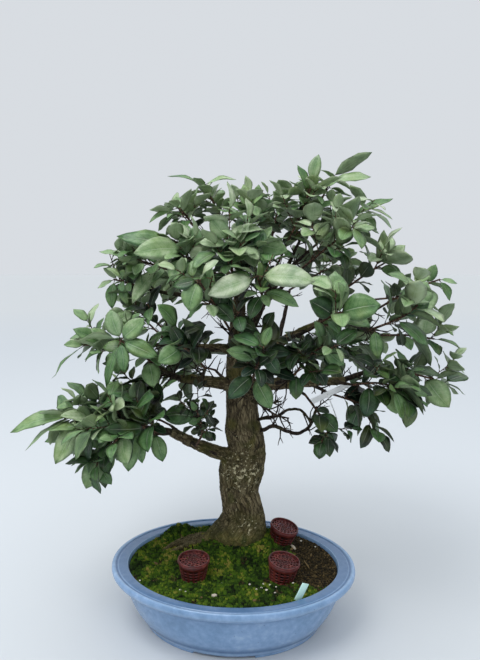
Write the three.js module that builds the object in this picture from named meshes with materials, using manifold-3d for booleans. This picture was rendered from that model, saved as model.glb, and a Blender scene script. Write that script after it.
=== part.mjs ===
// Thorny olive bonsai in an oval glazed pot, millimetres, +Z up.
// The pot's long side lies along X. Points on the tree are given as seen from
// the front, which is turned by VIEW_TURN from the pot's own front.
import * as THREE from 'three';
import Module from 'manifold-3d';

const wasm = await Module();
wasm.setup();

// Driving dimensions
const POT_LENGTH = 359;
const POT_DEPTH = 272;
const POT_HEIGHT = 83;
const BASE_LENGTH = 268;
const BASE_DEPTH = 210;
const POT_SIDES = 28;
const OVAL_HEIGHT = 62;
const POT_FLOOR = 12;
const FLOOR_EDGE = 52;
const FOOT_HEIGHT = 3;
const FOOT_RING = 14;
const FOOT_GAP = 80;
const SOIL_TOP = 78;
const SOIL_GAP = 0.6;
const TOUCH_GAP = 0.3;
const VIEW_TURN = THREE.MathUtils.degToRad(6.1);
const TRUNK_FOOT = 44.5;
const TRUNK_SUNK = 48;
const TRUNK_SIDES = 10;
const BASKET_TOP = 44;
const BASKET_BOTTOM = 31;
const BASKET_HEIGHT = 26;
const BASKET_WALL = 1.6;
const BASKET_SIDES = 12;
const LID_THICK = 2.4;
const LABEL_WIDTH = 11;
const LABEL_THICK = 1;
const LABEL_PLACE = [88.5, -95.5, 82.5];
const LABEL_TURN = [8, 25, 28];
const STRAP = { middle: [142, 14.4, 330], size: [60, 1, 8], rise: 26 };
const STRAP_TAIL = [[138, 14.4, 329], [146, 10, 309], [152, 8, 293]];
const STRAP_TAIL_THICK = 1.6;
const TWIG_SIDES = 4;
const TWIG_THICK = 3.6;
const TWIG_TIP = 2.6;
const LEAF_THICK = 0.8;
const ROOT_OUT = 0.8;
const LEAF_APART = 8;
const TWIG_APART = 5;
const OWN_APART = 6;
const LEAF_TRIES = 24;
const LEAF_TURN = 2.39996;
const LARGE_BLADE = [[0, 0], [0.36, 0.5], [0.7, 0.43], [1, 0]];
const SMALL_BLADE = [[0, 0], [0.52, 0.5], [1, 0]];
const CROWN_MIDDLE = [30, 50, 400];
const CROWN_TOP = 670;
const CROWN_SLOPE = 0.0025;
const LARGE_WIDTH = 17;
const FIRST_LEAF = 0.12;
const LAST_LEAF = 0.98;
const BASE_SPREAD = 1.25;
const TIP_SPREAD = 0.8;
const LEAF_DROOP = 0.25;
const LEAF_BOW = 0.3;

// Trunk rings from the sunk end up: height, middle x, middle y, half width.
const TRUNK_RINGS = [
  [TRUNK_SUNK, 8, 56, TRUNK_FOOT], [94, 8, 56, TRUNK_FOOT], [104, 9, 56, 44],
  [117, 15, 56, 36], [132, 16, 56, 32.5], [165, 10, 55, 29.5], [195, 13, 55, 35],
  [215, 16, 54, 35], [234, 22, 53, 29], [264, 17, 51, 29], [290, 15, 50, 24.5],
  [325, 13, 48, 23.5], [362, 8, 46, 18], [404, 7, 45, 14], [440, 9, 45, 11],
  [478, 11, 45, 8], [515, 12, 52, 5],
];

// Limbs: points from inside their parent outwards, then the thickness at both
// ends. A limb that carries a spray has the spray's name.
const LIMBS = [
  { points: [[0, 50, 220], [-49, 35, 244], [-92, 20, 270]], thick: [24, 13] },
  { points: [[-90, 21, 269], [-122, 20, 278]], thick: [11, 5], spray: 'left_low_tip' },
  { points: [[-88, 21, 268], [-130, 33, 264], [-159, 40, 258]], thick: [8, 4], spray: 'left_low_under' },
  { points: [[-90, 21, 269], [-106, -10, 279]], thick: [8, 4], spray: 'left_low_mid' },
  { points: [[-66, 30, 253], [-53, 10, 252]], thick: [5, 4], spray: 'left_low_inner' },
  { points: [[-72, 28, 257], [-84, 62, 257], [-101, 90, 260]], thick: [8, 4], spray: 'left_low_back' },
  { points: [[5, 48, 334], [-48, 30, 345], [-77, 20, 350]], thick: [21, 12] },
  { points: [[-76, 20, 350], [-103, 0, 370]], thick: [8, 4], spray: 'left_mid_front' },
  { points: [[-76, 20, 350], [-100, 30, 355]], thick: [8, 4], spray: 'left_mid_under' },
  { points: [[-46, 31, 345], [-37, -20, 373]], thick: [7, 4], spray: 'left_mid_inner' },
  { points: [[8, 44, 388], [-26, 30, 395], [-70, 30, 391]], thick: [17, 9] },
  { points: [[-68, 30, 391], [-106, 30, 400], [-138, 40, 386]], thick: [8, 4], spray: 'left_mid_tip' },
  { points: [[-68, 30, 391], [-99, 30, 421]], thick: [7, 4], spray: 'left_mid_back' },
  { points: [[-24, 31, 395], [-60, 80, 386], [-103, 120, 385]], thick: [8, 4], spray: 'left_back' },
  { points: [[8, 45, 430], [-40, 42, 470]], thick: [13, 9] },
  { points: [[-38, 42, 468], [-92, 34, 474], [-120, 30, 479]], thick: [8, 4], spray: 'left_upper' },
  { points: [[-38, 42, 468], [-92, 40, 508]], thick: [8, 4], spray: 'upper_left_tip' },
  { points: [[-38, 42, 468], [-24, 0, 505]], thick: [8, 4], spray: 'upper_left_mid' },
  { points: [[11, 46, 482], [-20, 55, 520], [-48, 60, 559]], thick: [9, 4], spray: 'upper_left_top' },
  { points: [[12, 50, 505], [-11, 70, 560]], thick: [6, 4], spray: 'top_left' },
  { points: [[12, 50, 508], [14, 60, 552]], thick: [7, 4], spray: 'top_centre' },
  { points: [[9, 44, 436], [10, -10, 455], [5, -60, 483]], thick: [9, 4], spray: 'top_centre_front' },
  { points: [[10, 42, 455], [18, -20, 481]], thick: [8, 4], spray: 'crown_mid' },
  { points: [[7, 44, 398], [-2, -50, 430]], thick: [9, 4], spray: 'centre_left_front' },
  { points: [[8, 44, 402], [28, -8, 425], [40, -60, 457]], thick: [9, 4], spray: 'centre_front' },
  { points: [[9, 46, 440], [-31, 150, 457]], thick: [9, 4], spray: 'back_left' },
  { points: [[9, 46, 452], [11, 160, 490]], thick: [9, 4], spray: 'back_centre' },
  { points: [[11, 46, 470], [35, 80, 503], [59, 110, 539]], thick: [9, 4], spray: 'back_top' },
  { points: [[8, 45, 400], [45, 48, 455]], thick: [16, 11] },
  { points: [[44, 48, 454], [63, 50, 508]], thick: [9, 4], spray: 'top_right_up' },
  { points: [[44, 48, 454], [80, 58, 510], [102, 70, 553]], thick: [9, 4], spray: 'top_right_far' },
  { points: [[74, 56, 500], [114, 50, 537]], thick: [7, 4], spray: 'top_right_low' },
  { points: [[44, 48, 454], [96, 10, 508]], thick: [7, 4], spray: 'right_top_mid' },
  { points: [[12, 46, 358], [70, 42, 400], [130, 42, 430]], thick: [18, 10] },
  { points: [[128, 42, 429], [144, 40, 464]], thick: [7, 4], spray: 'right_upper' },
  { points: [[128, 42, 429], [175, 48, 430], [213, 50, 448]], thick: [9, 4], spray: 'right_upper_tip' },
  { points: [[173, 48, 430], [224, 60, 409]], thick: [7, 4], spray: 'right_mid_tip' },
  { points: [[173, 48, 430], [194, 0, 424]], thick: [6, 4], spray: 'right_mid_front' },
  { points: [[70, 42, 400], [105, -40, 429]], thick: [8, 4], spray: 'right_front' },
  { points: [[128, 42, 429], [170, 90, 450], [221, 120, 459]], thick: [8, 4], spray: 'right_far_back' },
  { points: [[68, 42, 399], [82, 96, 440], [94, 150, 474]], thick: [8, 4], spray: 'back_right' },
  { points: [[22, 46, 334], [99, 22, 344], [165, 20, 348]], thick: [22, 11] },
  { points: [[163, 20, 348], [200, 40, 356], [238, 50, 357]], thick: [9, 4], spray: 'right_low_tip' },
  { points: [[142, 20, 347], [170, -8, 347]], thick: [6, 4], spray: 'right_low' },
  { points: [[110, 21, 345], [140, 26, 328]], thick: [7, 4], spray: 'right_under' },
  { points: [[80, 28, 342], [104, 0, 331]], thick: [6, 4], spray: 'right_hang' },
  { points: [[62, 34, 340], [80, -30, 359]], thick: [7, 4], spray: 'right_inner' },
  { points: [[60, 35, 340], [110, 130, 359]], thick: [8, 4], spray: 'back_low_right' },
  { points: [[15, 46, 330], [25, -40, 354]], thick: [8, 4], spray: 'centre_low_front' },
  { points: [[13, 50, 318], [-30, 130, 342]], thick: [9, 4], spray: 'back_low_left' },
  { points: [[18, 40, 316], [44, 22, 312], [72, 14, 318]], thick: [6, 2] },
  { points: [[40, 25, 312], [62, 6, 300], [82, 2, 296]], thick: [4, 2] },
  { points: [[-20, 40, 227], [-34, 22, 240]], thick: [5, 3] },
];

// Sprays: twig points, number of seeded leaves with their mean length, then
// the leaves placed by hand: place along the twig, tip x y z, width, and the
// angle of the upper side from up (0) to the front (90).
const SPRAYS = [
  { name: 'left_low_tip', twig: [[-122, 20, 278], [-177, 5, 291], [-224, -10, 303]], seeded: 6, length: 48,
    leaves: [[1, -312, -20, 281, 26, 35], [1, -288, -30, 258, 17, 5], [0.95, -245, -35, 241, 29, 80],
      [0.8, -229, -30, 260, 22, 75], [0.75, -233, -45, 312, 19, 50]] },
  { name: 'left_low_under', twig: [[-159, 40, 258], [-187, 30, 250], [-204, 25, 238]], seeded: 7, length: 46,
    leaves: [[0.4, -212, 5, 254, 20, 60], [0.9, -217, 12, 186, 30, 80], [0.5, -184, 25, 208, 15, 70],
      [1, -194, 35, 177, 18, 60]] },
  { name: 'left_low_mid', twig: [[-106, -10, 279], [-133, -35, 298], [-153, -50, 307]], seeded: 6, length: 48,
    leaves: [[0.6, -142, -45, 234, 27, 80], [0.45, -125, -32, 241, 18, 75], [0.1, -98, -20, 239, 22, 80],
      [0.3, -166, -75, 303, 25, 70], [0.6, -109, -48, 350, 17, 60]] },
  { name: 'left_low_inner', twig: [[-53, 10, 252], [-42, -10, 282], [-49, -25, 315]], seeded: 5, length: 24,
    leaves: [[1, -56, -38, 331, 9, 60], [0.8, -60, -24, 295, 12, 60], [0.35, -31, -12, 274, 12, 60],
      [0.85, -98, -15, 303, 28, 75]] },
  { name: 'left_low_back', twig: [[-101, 90, 260], [-156, 130, 274], [-194, 150, 278]], seeded: 11, length: 50,
    leaves: [] },
  { name: 'left_mid_tip', twig: [[-138, 40, 386], [-180, 30, 397], [-215, 20, 400]], seeded: 7, length: 46,
    leaves: [[0.6, -226, 5, 425, 22, 55], [1, -240, 5, 402, 13, 60], [1, -263, 15, 351, 12, 10]] },
  { name: 'left_mid_front', twig: [[-103, 0, 370], [-128, -30, 397], [-148, -50, 417]], seeded: 4, length: 44,
    leaves: [[1, -114, -55, 446, 24, 75], [1, -96, -62, 396, 24, 70], [1, -143, -55, 374, 17, 80],
      [1, -168, -50, 353, 12, 75], [1, -160, -48, 457, 24, 75], [0.3, -106, -40, 350, 26, 80]] },
  { name: 'left_mid_under', twig: [[-100, 30, 355], [-123, 20, 342], [-137, 15, 337]], seeded: 7, length: 44,
    leaves: [[0.3, -125, 0, 317, 24, -60]] },
  { name: 'left_mid_inner', twig: [[-37, -20, 373], [-55, -50, 401], [-69, -65, 412]], seeded: 8, length: 46,
    leaves: [[0.9, -93, -82, 392, 27, 75]] },
  { name: 'left_mid_back', twig: [[-99, 30, 421], [-120, 25, 440], [-140, 20, 450]], seeded: 8, length: 46,
    leaves: [[1, -174, 5, 426, 20, 70]] },
  { name: 'left_back', twig: [[-103, 120, 385], [-152, 170, 421], [-192, 200, 436]], seeded: 11, length: 52,
    leaves: [] },
  { name: 'left_upper', twig: [[-120, 30, 479], [-145, 25, 488], [-170, 20, 495]], seeded: 5, length: 32,
    leaves: [[1, -172, 15, 453, 17, 80], [0.8, -148, 8, 459, 14, 75], [1, -192, 15, 482, 10, 40],
      [0.8, -150, 5, 508, 12, 60]] },
  { name: 'upper_left_tip', twig: [[-92, 40, 508], [-125, 32, 519], [-150, 25, 526]], seeded: 5, length: 46,
    leaves: [[1, -190, 20, 534, 14, 30], [0.8, -137, -5, 494, 22, 70], [0.2, -138, -12, 462, 22, 75],
      [0.1, -112, -6, 490, 11, 75]] },
  { name: 'upper_left_mid', twig: [[-24, 0, 505], [-45, -15, 519], [-62, -25, 537]], seeded: 5, length: 48,
    leaves: [[1, -152, -35, 553, 27, 60], [1, -126, -58, 530, 31, 75], [1, -20, -45, 519, 26, 70]] },
  { name: 'upper_left_top', twig: [[-48, 60, 559], [-70, 60, 589], [-84, 60, 603]], seeded: 8, length: 44,
    leaves: [[0.7, -100, 50, 606, 16, 10], [0.9, -122, 48, 576, 12, 40]] },
  { name: 'top_left', twig: [[-11, 70, 560], [-31, 80, 613], [-49, 80, 637]], seeded: 9, length: 46,
    leaves: [[1, -98, 75, 647, 16, 20], [0.95, 6, 68, 641, 17, 25]] },
  { name: 'top_centre', twig: [[14, 60, 552], [24, 52, 575], [30, 45, 590]], seeded: 6, length: 38,
    leaves: [[1, 16, 42, 631, 20, 70], [1, 38, 38, 630, 18, 75], [1, 58, 38, 608, 18, 70],
      [0.9, -7, 38, 606, 14, 50]] },
  { name: 'top_centre_front', twig: [[5, -60, 483], [0, -72, 520], [-2, -80, 547]], seeded: 7, length: 44,
    leaves: [[1, -25, -86, 573, 23, 75], [0.9, -40, -84, 543, 16, 60]] },
  { name: 'crown_mid', twig: [[18, -20, 481], [22, -45, 520], [24, -55, 545]], seeded: 5, length: 44,
    leaves: [[1, 72, -66, 533, 26, 75], [1, 31, -72, 512, 27, 80]] },
  { name: 'top_right_up', twig: [[63, 50, 508], [98, 40, 587], [114, 32, 630]], seeded: 8, length: 44,
    leaves: [[1, 122, 28, 670, 18, 70], [0.6, 150, 22, 606, 15, 50], [0.9, 92, 26, 655, 13, 50]] },
  { name: 'top_right_far', twig: [[102, 70, 553], [130, 75, 605], [149, 80, 646]], seeded: 6, length: 48,
    leaves: [[1, 208, 75, 682, 21, -50], [0.9, 206, 68, 645, 20, 50]] },
  { name: 'top_right_low', twig: [[114, 50, 537], [167, 60, 581], [200, 60, 598]], seeded: 7, length: 44,
    leaves: [[0.75, 236, 54, 612, 17, 40], [0.9, 214, 60, 566, 14, 50]] },
  { name: 'right_top_mid', twig: [[96, 10, 508], [133, -20, 542], [157, -30, 559]], seeded: 11, length: 46,
    leaves: [] },
  { name: 'right_upper', twig: [[144, 40, 464], [192, 30, 501], [222, 25, 520]], seeded: 8, length: 46,
    leaves: [[0.9, 246, 20, 543, 20, 70], [0.85, 241, 12, 497, 18, 70]] },
  { name: 'right_upper_tip', twig: [[213, 50, 448], [264, 50, 478], [308, 50, 494]], seeded: 5, length: 38,
    leaves: [[0.8, 298, 42, 516, 18, 75], [1, 334, 50, 488, 11, 40], [1, 324, 50, 462, 13, 60],
      [0.75, 286, 28, 448, 29, 80], [0.6, 243, 20, 458, 26, 80]] },
  { name: 'right_mid_tip', twig: [[224, 60, 409], [270, 68, 408], [310, 70, 402]], seeded: 6, length: 46,
    leaves: [[1, 352, 64, 386, 17, 10], [0.8, 294, 56, 441, 32, 75], [0.4, 268, 46, 388, 17, 60]] },
  { name: 'right_mid_front', twig: [[194, 0, 424], [228, -30, 444], [248, -40, 462]], seeded: 8, length: 48,
    leaves: [[0.1, 202, -20, 386, 20, 80]] },
  { name: 'right_low_tip', twig: [[238, 50, 357], [285, 55, 348], [325, 58, 335]], seeded: 6, length: 48,
    leaves: [[1, 358, 60, 316, 12, 10], [0.6, 322, 28, 305, 38, 75], [0.3, 258, 38, 300, 28, 80]] },
  { name: 'right_low', twig: [[170, -8, 347], [200, -18, 352], [230, -28, 348]], seeded: 7, length: 46,
    leaves: [[0.85, 226, -34, 312, 32, 80], [0.35, 187, -22, 304, 28, 80]] },
  { name: 'right_under', twig: [[140, 26, 328], [163, 18, 322], [190, 10, 314]], seeded: 7, length: 44,
    leaves: [] },
  { name: 'right_hang', twig: [[104, 0, 331], [123, -20, 307], [137, -25, 285]], seeded: 5, length: 34,
    leaves: [[0.5, 146, -32, 286, 24, 80], [0.9, 136, -32, 250, 18, 75], [1, 114, -26, 262, 12, 60]] },
  { name: 'right_inner', twig: [[80, -30, 359], [103, -60, 398], [118, -74, 412]], seeded: 6, length: 38,
    leaves: [[0.5, 112, -76, 362, 20, 80], [0.2, 86, -50, 336, 20, 80], [1, 143, -85, 389, 21, 80]] },
  { name: 'right_front', twig: [[105, -40, 429], [122, -76, 448], [135, -98, 458]], seeded: 7, length: 48,
    leaves: [[0.9, 180, -114, 468, 34, 75], [0.8, 96, -100, 472, 28, 75]] },
  { name: 'centre_front', twig: [[40, -60, 457], [38, -90, 482], [32, -110, 503]], seeded: 4, length: 38,
    leaves: [[1, 99, -128, 496, 28, 75], [1, -27, -120, 480, 27, 75], [0.6, 82, -110, 465, 17, 70],
      [0.5, 23, -106, 450, 18, 80]] },
  { name: 'centre_left_front', twig: [[-2, -50, 430], [-24, -90, 472], [-40, -105, 498]], seeded: 6, length: 44,
    leaves: [[1, -50, -112, 460, 26, 80], [0.6, 4, -102, 446, 20, 75], [1, -70, -107, 490, 18, 60]] },
  { name: 'centre_low_front', twig: [[25, -40, 354], [34, -80, 389], [43, -95, 408]], seeded: 6, length: 44,
    leaves: [[1, 60, -104, 382, 18, 75], [0.9, -6, -97, 410, 20, 70], [0.4, -4, -70, 342, 24, 80],
      [0.3, 52, -68, 328, 24, 80]] },
  { name: 'back_left', twig: [[-31, 150, 457], [-76, 200, 489], [-115, 230, 506]], seeded: 11, length: 52,
    leaves: [] },
  { name: 'back_centre', twig: [[11, 160, 490], [20, 215, 530], [29, 250, 560]], seeded: 11, length: 52,
    leaves: [] },
  { name: 'back_right', twig: [[94, 150, 474], [155, 205, 503], [200, 238, 517]], seeded: 11, length: 52,
    leaves: [] },
  { name: 'back_low_right', twig: [[110, 130, 359], [180, 185, 375], [230, 215, 381]], seeded: 11, length: 52,
    leaves: [] },
  { name: 'back_low_left', twig: [[-30, 130, 342], [-76, 180, 344], [-114, 200, 349]], seeded: 11, length: 50,
    leaves: [] },
  { name: 'back_top', twig: [[59, 110, 539], [67, 130, 583], [76, 140, 610]], seeded: 10, length: 48,
    leaves: [] },
  { name: 'right_far_back', twig: [[221, 120, 459], [270, 148, 460], [308, 160, 450]], seeded: 11, length: 50,
    leaves: [] },
];

// Baskets: middle of the bottom x y z, lean to the right and to the front in
// degrees.
const BASKETS = [
  { name: 'basket_left', at: [-54, -43, 80], lean: 1, front: 3 },
  { name: 'basket_right', at: [69, -45, 79], lean: 8, front: 4 },
  { name: 'basket_rear', at: [74, 50, 84], lean: 14, front: 6 },
];

const scratch = new THREE.Vector3();

// Solids
function weld(geometry) {
  const at = geometry.attributes.position;
  const seen = new Map();
  const points = [];
  const renamed = [];
  for (let i = 0; i < at.count; i += 1) {
    scratch.fromBufferAttribute(at, i);
    const key = scratch.toArray().map((v) => Math.round(v * 1e4)).join(' ');
    if (!seen.has(key)) {
      seen.set(key, points.length / 3);
      points.push(...scratch.toArray());
    }
    renamed.push(seen.get(key));
  }
  const corners = geometry.index ? Array.from(geometry.index.array) : [...renamed.keys()];
  const faces = [];
  for (let i = 0; i < corners.length; i += 3) {
    const [a, b, c] = [renamed[corners[i]], renamed[corners[i + 1]], renamed[corners[i + 2]]];
    if (a !== b && b !== c && c !== a) {
      faces.push(a, b, c);
    }
  }
  return { points, faces };
}

function solid(geometry) {
  const { points, faces } = weld(geometry);
  return new wasm.Manifold(new wasm.Mesh({
    numProp: 3,
    vertProperties: new Float32Array(points),
    triVerts: new Uint32Array(faces),
  }));
}

function shape(body) {
  const found = body.getMesh();
  const geometry = new THREE.BufferGeometry();
  geometry.setAttribute('position', new THREE.BufferAttribute(new Float32Array(found.vertProperties), 3));
  geometry.setIndex(new THREE.BufferAttribute(new Uint32Array(found.triVerts), 1));
  geometry.computeVertexNormals();
  return geometry;
}

function joined(bodies) {
  return bodies.reduce((all, next) => all.add(next));
}

function material(colour, roughness) {
  return new THREE.MeshStandardMaterial({ color: colour, roughness, metalness: 0 });
}

function mesh(name, body, look) {
  const made = new THREE.Mesh(shape(body), look);
  made.name = name;
  return made;
}

function lathe(profile, sides) {
  const turned = new THREE.LatheGeometry(profile.map(([r, z]) => new THREE.Vector2(r, z)), sides);
  turned.rotateX(Math.PI / 2);
  return turned;
}

// A round limb through points, made by bending a cylinder.
function limb(points, radii, sides, firstWay) {
  const last = points.length - 1;
  const geometry = new THREE.CylinderGeometry(1, 1, 1, sides, last);
  const rings = points.map((point, k) => {
    const way = points[Math.min(k + 1, last)].clone().sub(points[Math.max(k - 1, 0)]).normalize();
    return { point, way: k === 0 && firstWay ? firstWay : way, radius: radii[k] };
  });
  const level = Math.abs(rings[0].way.z) > 0.9 ? new THREE.Vector3(1, 0, 0) : new THREE.Vector3(0, 0, 1);
  const at = geometry.attributes.position;
  for (let i = 0; i < at.count; i += 1) {
    const ring = rings[Math.round((at.getY(i) + 0.5) * last)];
    const side = level.clone().cross(ring.way).normalize();
    const other = side.clone().cross(ring.way);
    const out = side.multiplyScalar(at.getX(i)).add(other.multiplyScalar(at.getZ(i)));
    out.multiplyScalar(ring.radius).add(ring.point);
    at.setXYZ(i, out.x, out.y, out.z);
  }
  return solid(geometry);
}

function vectors(points) {
  return points.map((point) => new THREE.Vector3(...point));
}

// Pot with a flat rim, a groove inside the outer bead, and a low foot ring
function narrowing(z) {
  const top = POT_DEPTH / POT_LENGTH;
  const low = BASE_DEPTH / BASE_LENGTH;
  return low + (top - low) * THREE.MathUtils.clamp(z / OVAL_HEIGHT, 0, 1);
}

function oval(geometry) {
  const at = geometry.attributes.position;
  for (let i = 0; i < at.count; i += 1) {
    at.setY(i, at.getY(i) * narrowing(at.getZ(i)));
  }
  return geometry;
}

function makePot() {
  const rim = POT_LENGTH / 2;
  const base = BASE_LENGTH / 2;
  const profile = [[0, FOOT_HEIGHT], [base - 3, FOOT_HEIGHT], [base, 6], [base + 3, 10], [base + 16, 30],
    [base + 24, 52], [base + 28, 68.5], [rim - 5, 70], [rim, 76], [rim - 2.5, POT_HEIGHT],
    [rim - 6, POT_HEIGHT], [rim - 8.5, 81.2], [rim - 11, 82.2], [rim - 24.5, 82.2], [rim - 26.5, 70],
    [rim - 33, 52], [rim - FLOOR_EDGE, POT_FLOOR + 2], [0, POT_FLOOR]];
  const body = solid(oval(lathe(profile, POT_SIDES)));
  const outer = base - 3;
  const inner = outer - FOOT_RING;
  const ring = [[inner, 0], [outer, 0], [outer, FOOT_HEIGHT + 2], [inner, FOOT_HEIGHT + 2], [inner, 0]];
  const foot = solid(oval(lathe(ring, POT_SIDES)));
  const gap = new THREE.BoxGeometry(FOOT_GAP, BASE_DEPTH * 2, FOOT_HEIGHT * 2);
  return mesh('pot', body.add(foot.subtract(solid(gap))), material(0x7d97c4, 0.28));
}

// Soil with a mound at the trunk and a hummock behind on the left
function ball(x, y, z, a, b, c) {
  const geometry = new THREE.SphereGeometry(1, 14, 10);
  geometry.rotateX(Math.PI / 2);
  geometry.scale(a, b, c);
  geometry.translate(x, y, z);
  return geometry;
}

function seenBody(geometry) {
  geometry.rotateZ(VIEW_TURN);
  return solid(geometry);
}

function post(x, y, low, high, radius, sides) {
  const geometry = new THREE.CylinderGeometry(radius, radius, high - low, sides);
  geometry.rotateX(Math.PI / 2);
  geometry.translate(x, y, (low + high) / 2);
  return geometry;
}

function makeSoil() {
  const rim = POT_LENGTH / 2;
  const low = POT_FLOOR + SOIL_GAP;
  const profile = [[0, low], [rim - FLOOR_EDGE - SOIL_GAP, low + 2], [rim - 33 - SOIL_GAP, 52],
    [rim - 26.5 - SOIL_GAP, 70], [rim - 25.6 - SOIL_GAP, 76], [rim - 32, SOIL_TOP], [0, SOIL_TOP + 2]];
  let body = solid(oval(lathe(profile, POT_SIDES)));
  const reach = rim - 35;
  const inside = solid(oval(lathe([[0, 60], [reach, 60], [reach, 140], [0, 140]], POT_SIDES)));
  const mound = seenBody(ball(8, 44, 68, 100, 62, 26));
  const hummock = seenBody(ball(-84, 70, 74, 34, 26, 24));
  body = body.add(mound.add(hummock).intersect(inside));
  const [under, x, y, foot] = TRUNK_RINGS[0];
  body = body.subtract(seenBody(post(x, y, under - 1, 140, foot + SOIL_GAP, TRUNK_SIDES)));
  for (const basket of BASKETS) {
    const tool = post(0, 0, -TOUCH_GAP, 40, BASKET_BOTTOM / 2 + 3, BASKET_SIDES);
    tool.applyMatrix4(basketPlace(basket));
    body = body.subtract(seenBody(tool));
  }
  const slot = new THREE.BoxGeometry(LABEL_WIDTH + 1.6, LABEL_THICK + 1.2, 40);
  slot.translate(0, 0, 5);
  slot.applyMatrix4(labelPlace());
  body = body.subtract(seenBody(slot));
  return mesh('soil', body, material(0x4a5a24, 0.95));
}

// Trunk with its limbs
function makeTrunk() {
  const bodies = [trunkStem()];
  for (const { points: places, thick } of LIMBS) {
    const line = vectors(places);
    const radii = line.map((point, k) => THREE.MathUtils.lerp(thick[0], thick[1], k / (line.length - 1)) / 2);
    bodies.push(limb(line, radii, thick[0] > 12 ? 6 : 4));
  }
  return mesh('trunk', joined(bodies), material(0x5b4a3a, 0.9));
}

// The trunk's rings stay level, so that the foot fills its round hole.
function trunkStem() {
  const last = TRUNK_RINGS.length - 1;
  const geometry = new THREE.CylinderGeometry(1, 1, 1, TRUNK_SIDES, last);
  geometry.rotateX(Math.PI / 2);
  const at = geometry.attributes.position;
  for (let i = 0; i < at.count; i += 1) {
    const [z, x, y, radius] = TRUNK_RINGS[Math.round((at.getZ(i) + 0.5) * last)];
    at.setXYZ(i, x + at.getX(i) * radius, y + at.getY(i) * radius, z);
  }
  return solid(geometry);
}

// Seeded numbers from 0 to 1
function seededNumbers(seed) {
  let state = seed;
  return () => {
    state = (state * 1664525 + 1013904223) % 4294967296;
    return state / 4294967296;
  };
}

// Where the leaves go
function firstWayOf(name) {
  const carrier = LIMBS.find((one) => one.spray === name);
  const line = vectors(carrier.points);
  return line[line.length - 1].clone().sub(line[line.length - 2]).normalize();
}

function twigLine(spray) {
  const line = vectors(spray.twig);
  line[0].addScaledVector(firstWayOf(spray.name), TOUCH_GAP);
  return line;
}

function along(line, part) {
  const first = line[0].distanceTo(line[1]);
  const second = line[1].distanceTo(line[2]);
  const reach = Math.min(part * (first + second), first + second - 1.5);
  const way = new THREE.Vector3();
  if (reach < first) {
    way.copy(line[1]).sub(line[0]).normalize();
    return { point: line[0].clone().addScaledVector(way, reach), way };
  }
  way.copy(line[2]).sub(line[1]).normalize();
  return { point: line[1].clone().addScaledVector(way, reach - first), way };
}

function leafFrame(base, tip, width, face) {
  const way = tip.clone().sub(base).normalize();
  const root = base.clone().addScaledVector(way, ROOT_OUT);
  const length = root.distanceTo(tip);
  const up = face.clone().addScaledVector(way, -face.dot(way)).normalize();
  const side = up.clone().cross(way);
  return { base: root, way, up, side, length, width };
}

function leafPoint(leaf, part, across) {
  const bow = leaf.length * LEAF_BOW * part * (1 - part);
  return leaf.base.clone().addScaledVector(leaf.way, part * leaf.length)
    .addScaledVector(leaf.up, bow).addScaledVector(leaf.side, across * leaf.width);
}

function leafMarks(leaf) {
  const marks = [leafPoint(leaf, 1, 0)];
  for (const [part, half] of [[0.15, 0.12], [0.33, 0.4], [0.5, 0.44], [0.67, 0.4], [0.84, 0.24]]) {
    marks.push(leafPoint(leaf, part, 0), leafPoint(leaf, part, -half), leafPoint(leaf, part, half));
  }
  return marks;
}

function offLine(point, a, b) {
  const line = b.clone().sub(a);
  const part = THREE.MathUtils.clamp(point.clone().sub(a).dot(line) / line.lengthSq(), 0, 1);
  return point.distanceTo(a.clone().addScaledVector(line, part));
}

function woodSticks() {
  const sticks = [];
  const stem = vectors(TRUNK_RINGS.map(([z, x, y]) => [x, y, z]));
  for (let k = 1; k < stem.length; k += 1) {
    const thick = Math.max(TRUNK_RINGS[k - 1][3], TRUNK_RINGS[k][3]);
    sticks.push({ owner: 'trunk', a: stem[k - 1], b: stem[k], radius: thick });
  }
  for (const { points, thick } of LIMBS) {
    const line = vectors(points);
    for (let k = 1; k < line.length; k += 1) {
      const part = (k - 1) / (line.length - 1);
      const radius = (thick[0] + (thick[1] - thick[0]) * part) / 2;
      sticks.push({ owner: 'trunk', a: line[k - 1], b: line[k], radius });
    }
  }
  const strap = new THREE.Vector3(...STRAP.middle);
  const half = strapWay().multiplyScalar(STRAP.size[0] / 2);
  const wide = STRAP.size[2] / 2;
  sticks.push({ owner: 'strap', a: strap.clone().sub(half), b: strap.clone().add(half), radius: wide });
  const tail = vectors(STRAP_TAIL);
  sticks.push({ owner: 'strap', a: tail[0], b: tail[2], radius: STRAP_TAIL_THICK });
  for (const spray of SPRAYS) {
    const line = twigLine(spray);
    sticks.push({ owner: spray.name, a: line[0], b: line[1], radius: TWIG_THICK / 2 });
    sticks.push({ owner: spray.name, a: line[1], b: line[2], radius: TWIG_THICK / 2 });
  }
  return sticks;
}

function roomFor(marks, owner, sticks, taken) {
  for (const stick of sticks) {
    const apart = stick.owner === owner ? 0 : stick.radius + TWIG_APART;
    if (apart > 0 && marks.some((mark) => offLine(mark, stick.a, stick.b) < apart)) {
      return false;
    }
  }
  for (const other of taken) {
    const same = other.owner === owner;
    const apart = same ? OWN_APART : LEAF_APART;
    if (marks[0].distanceTo(other.marks[0]) < 160) {
      const first = same ? 4 : 0;
      for (let i = first; i < marks.length; i += 1) {
        for (let j = first; j < other.marks.length; j += 1) {
          if (marks[i].distanceTo(other.marks[j]) < apart) {
            return false;
          }
        }
      }
    }
  }
  return true;
}

function handLeaf(line, [part, x, y, z, width, face]) {
  const turn = THREE.MathUtils.degToRad(face);
  const facing = new THREE.Vector3(0, -Math.sin(turn), Math.cos(turn));
  return leafFrame(along(line, part).point, new THREE.Vector3(x, y, z), width, facing);
}

// The crown's outline: a tip may lie no higher than this dome.
function underDome(leaf) {
  const tip = leafPoint(leaf, 1, 0);
  const away = (tip.x - 50) ** 2 + (tip.y - 50) ** 2;
  return tip.z < CROWN_TOP - CROWN_SLOPE * away;
}

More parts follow.
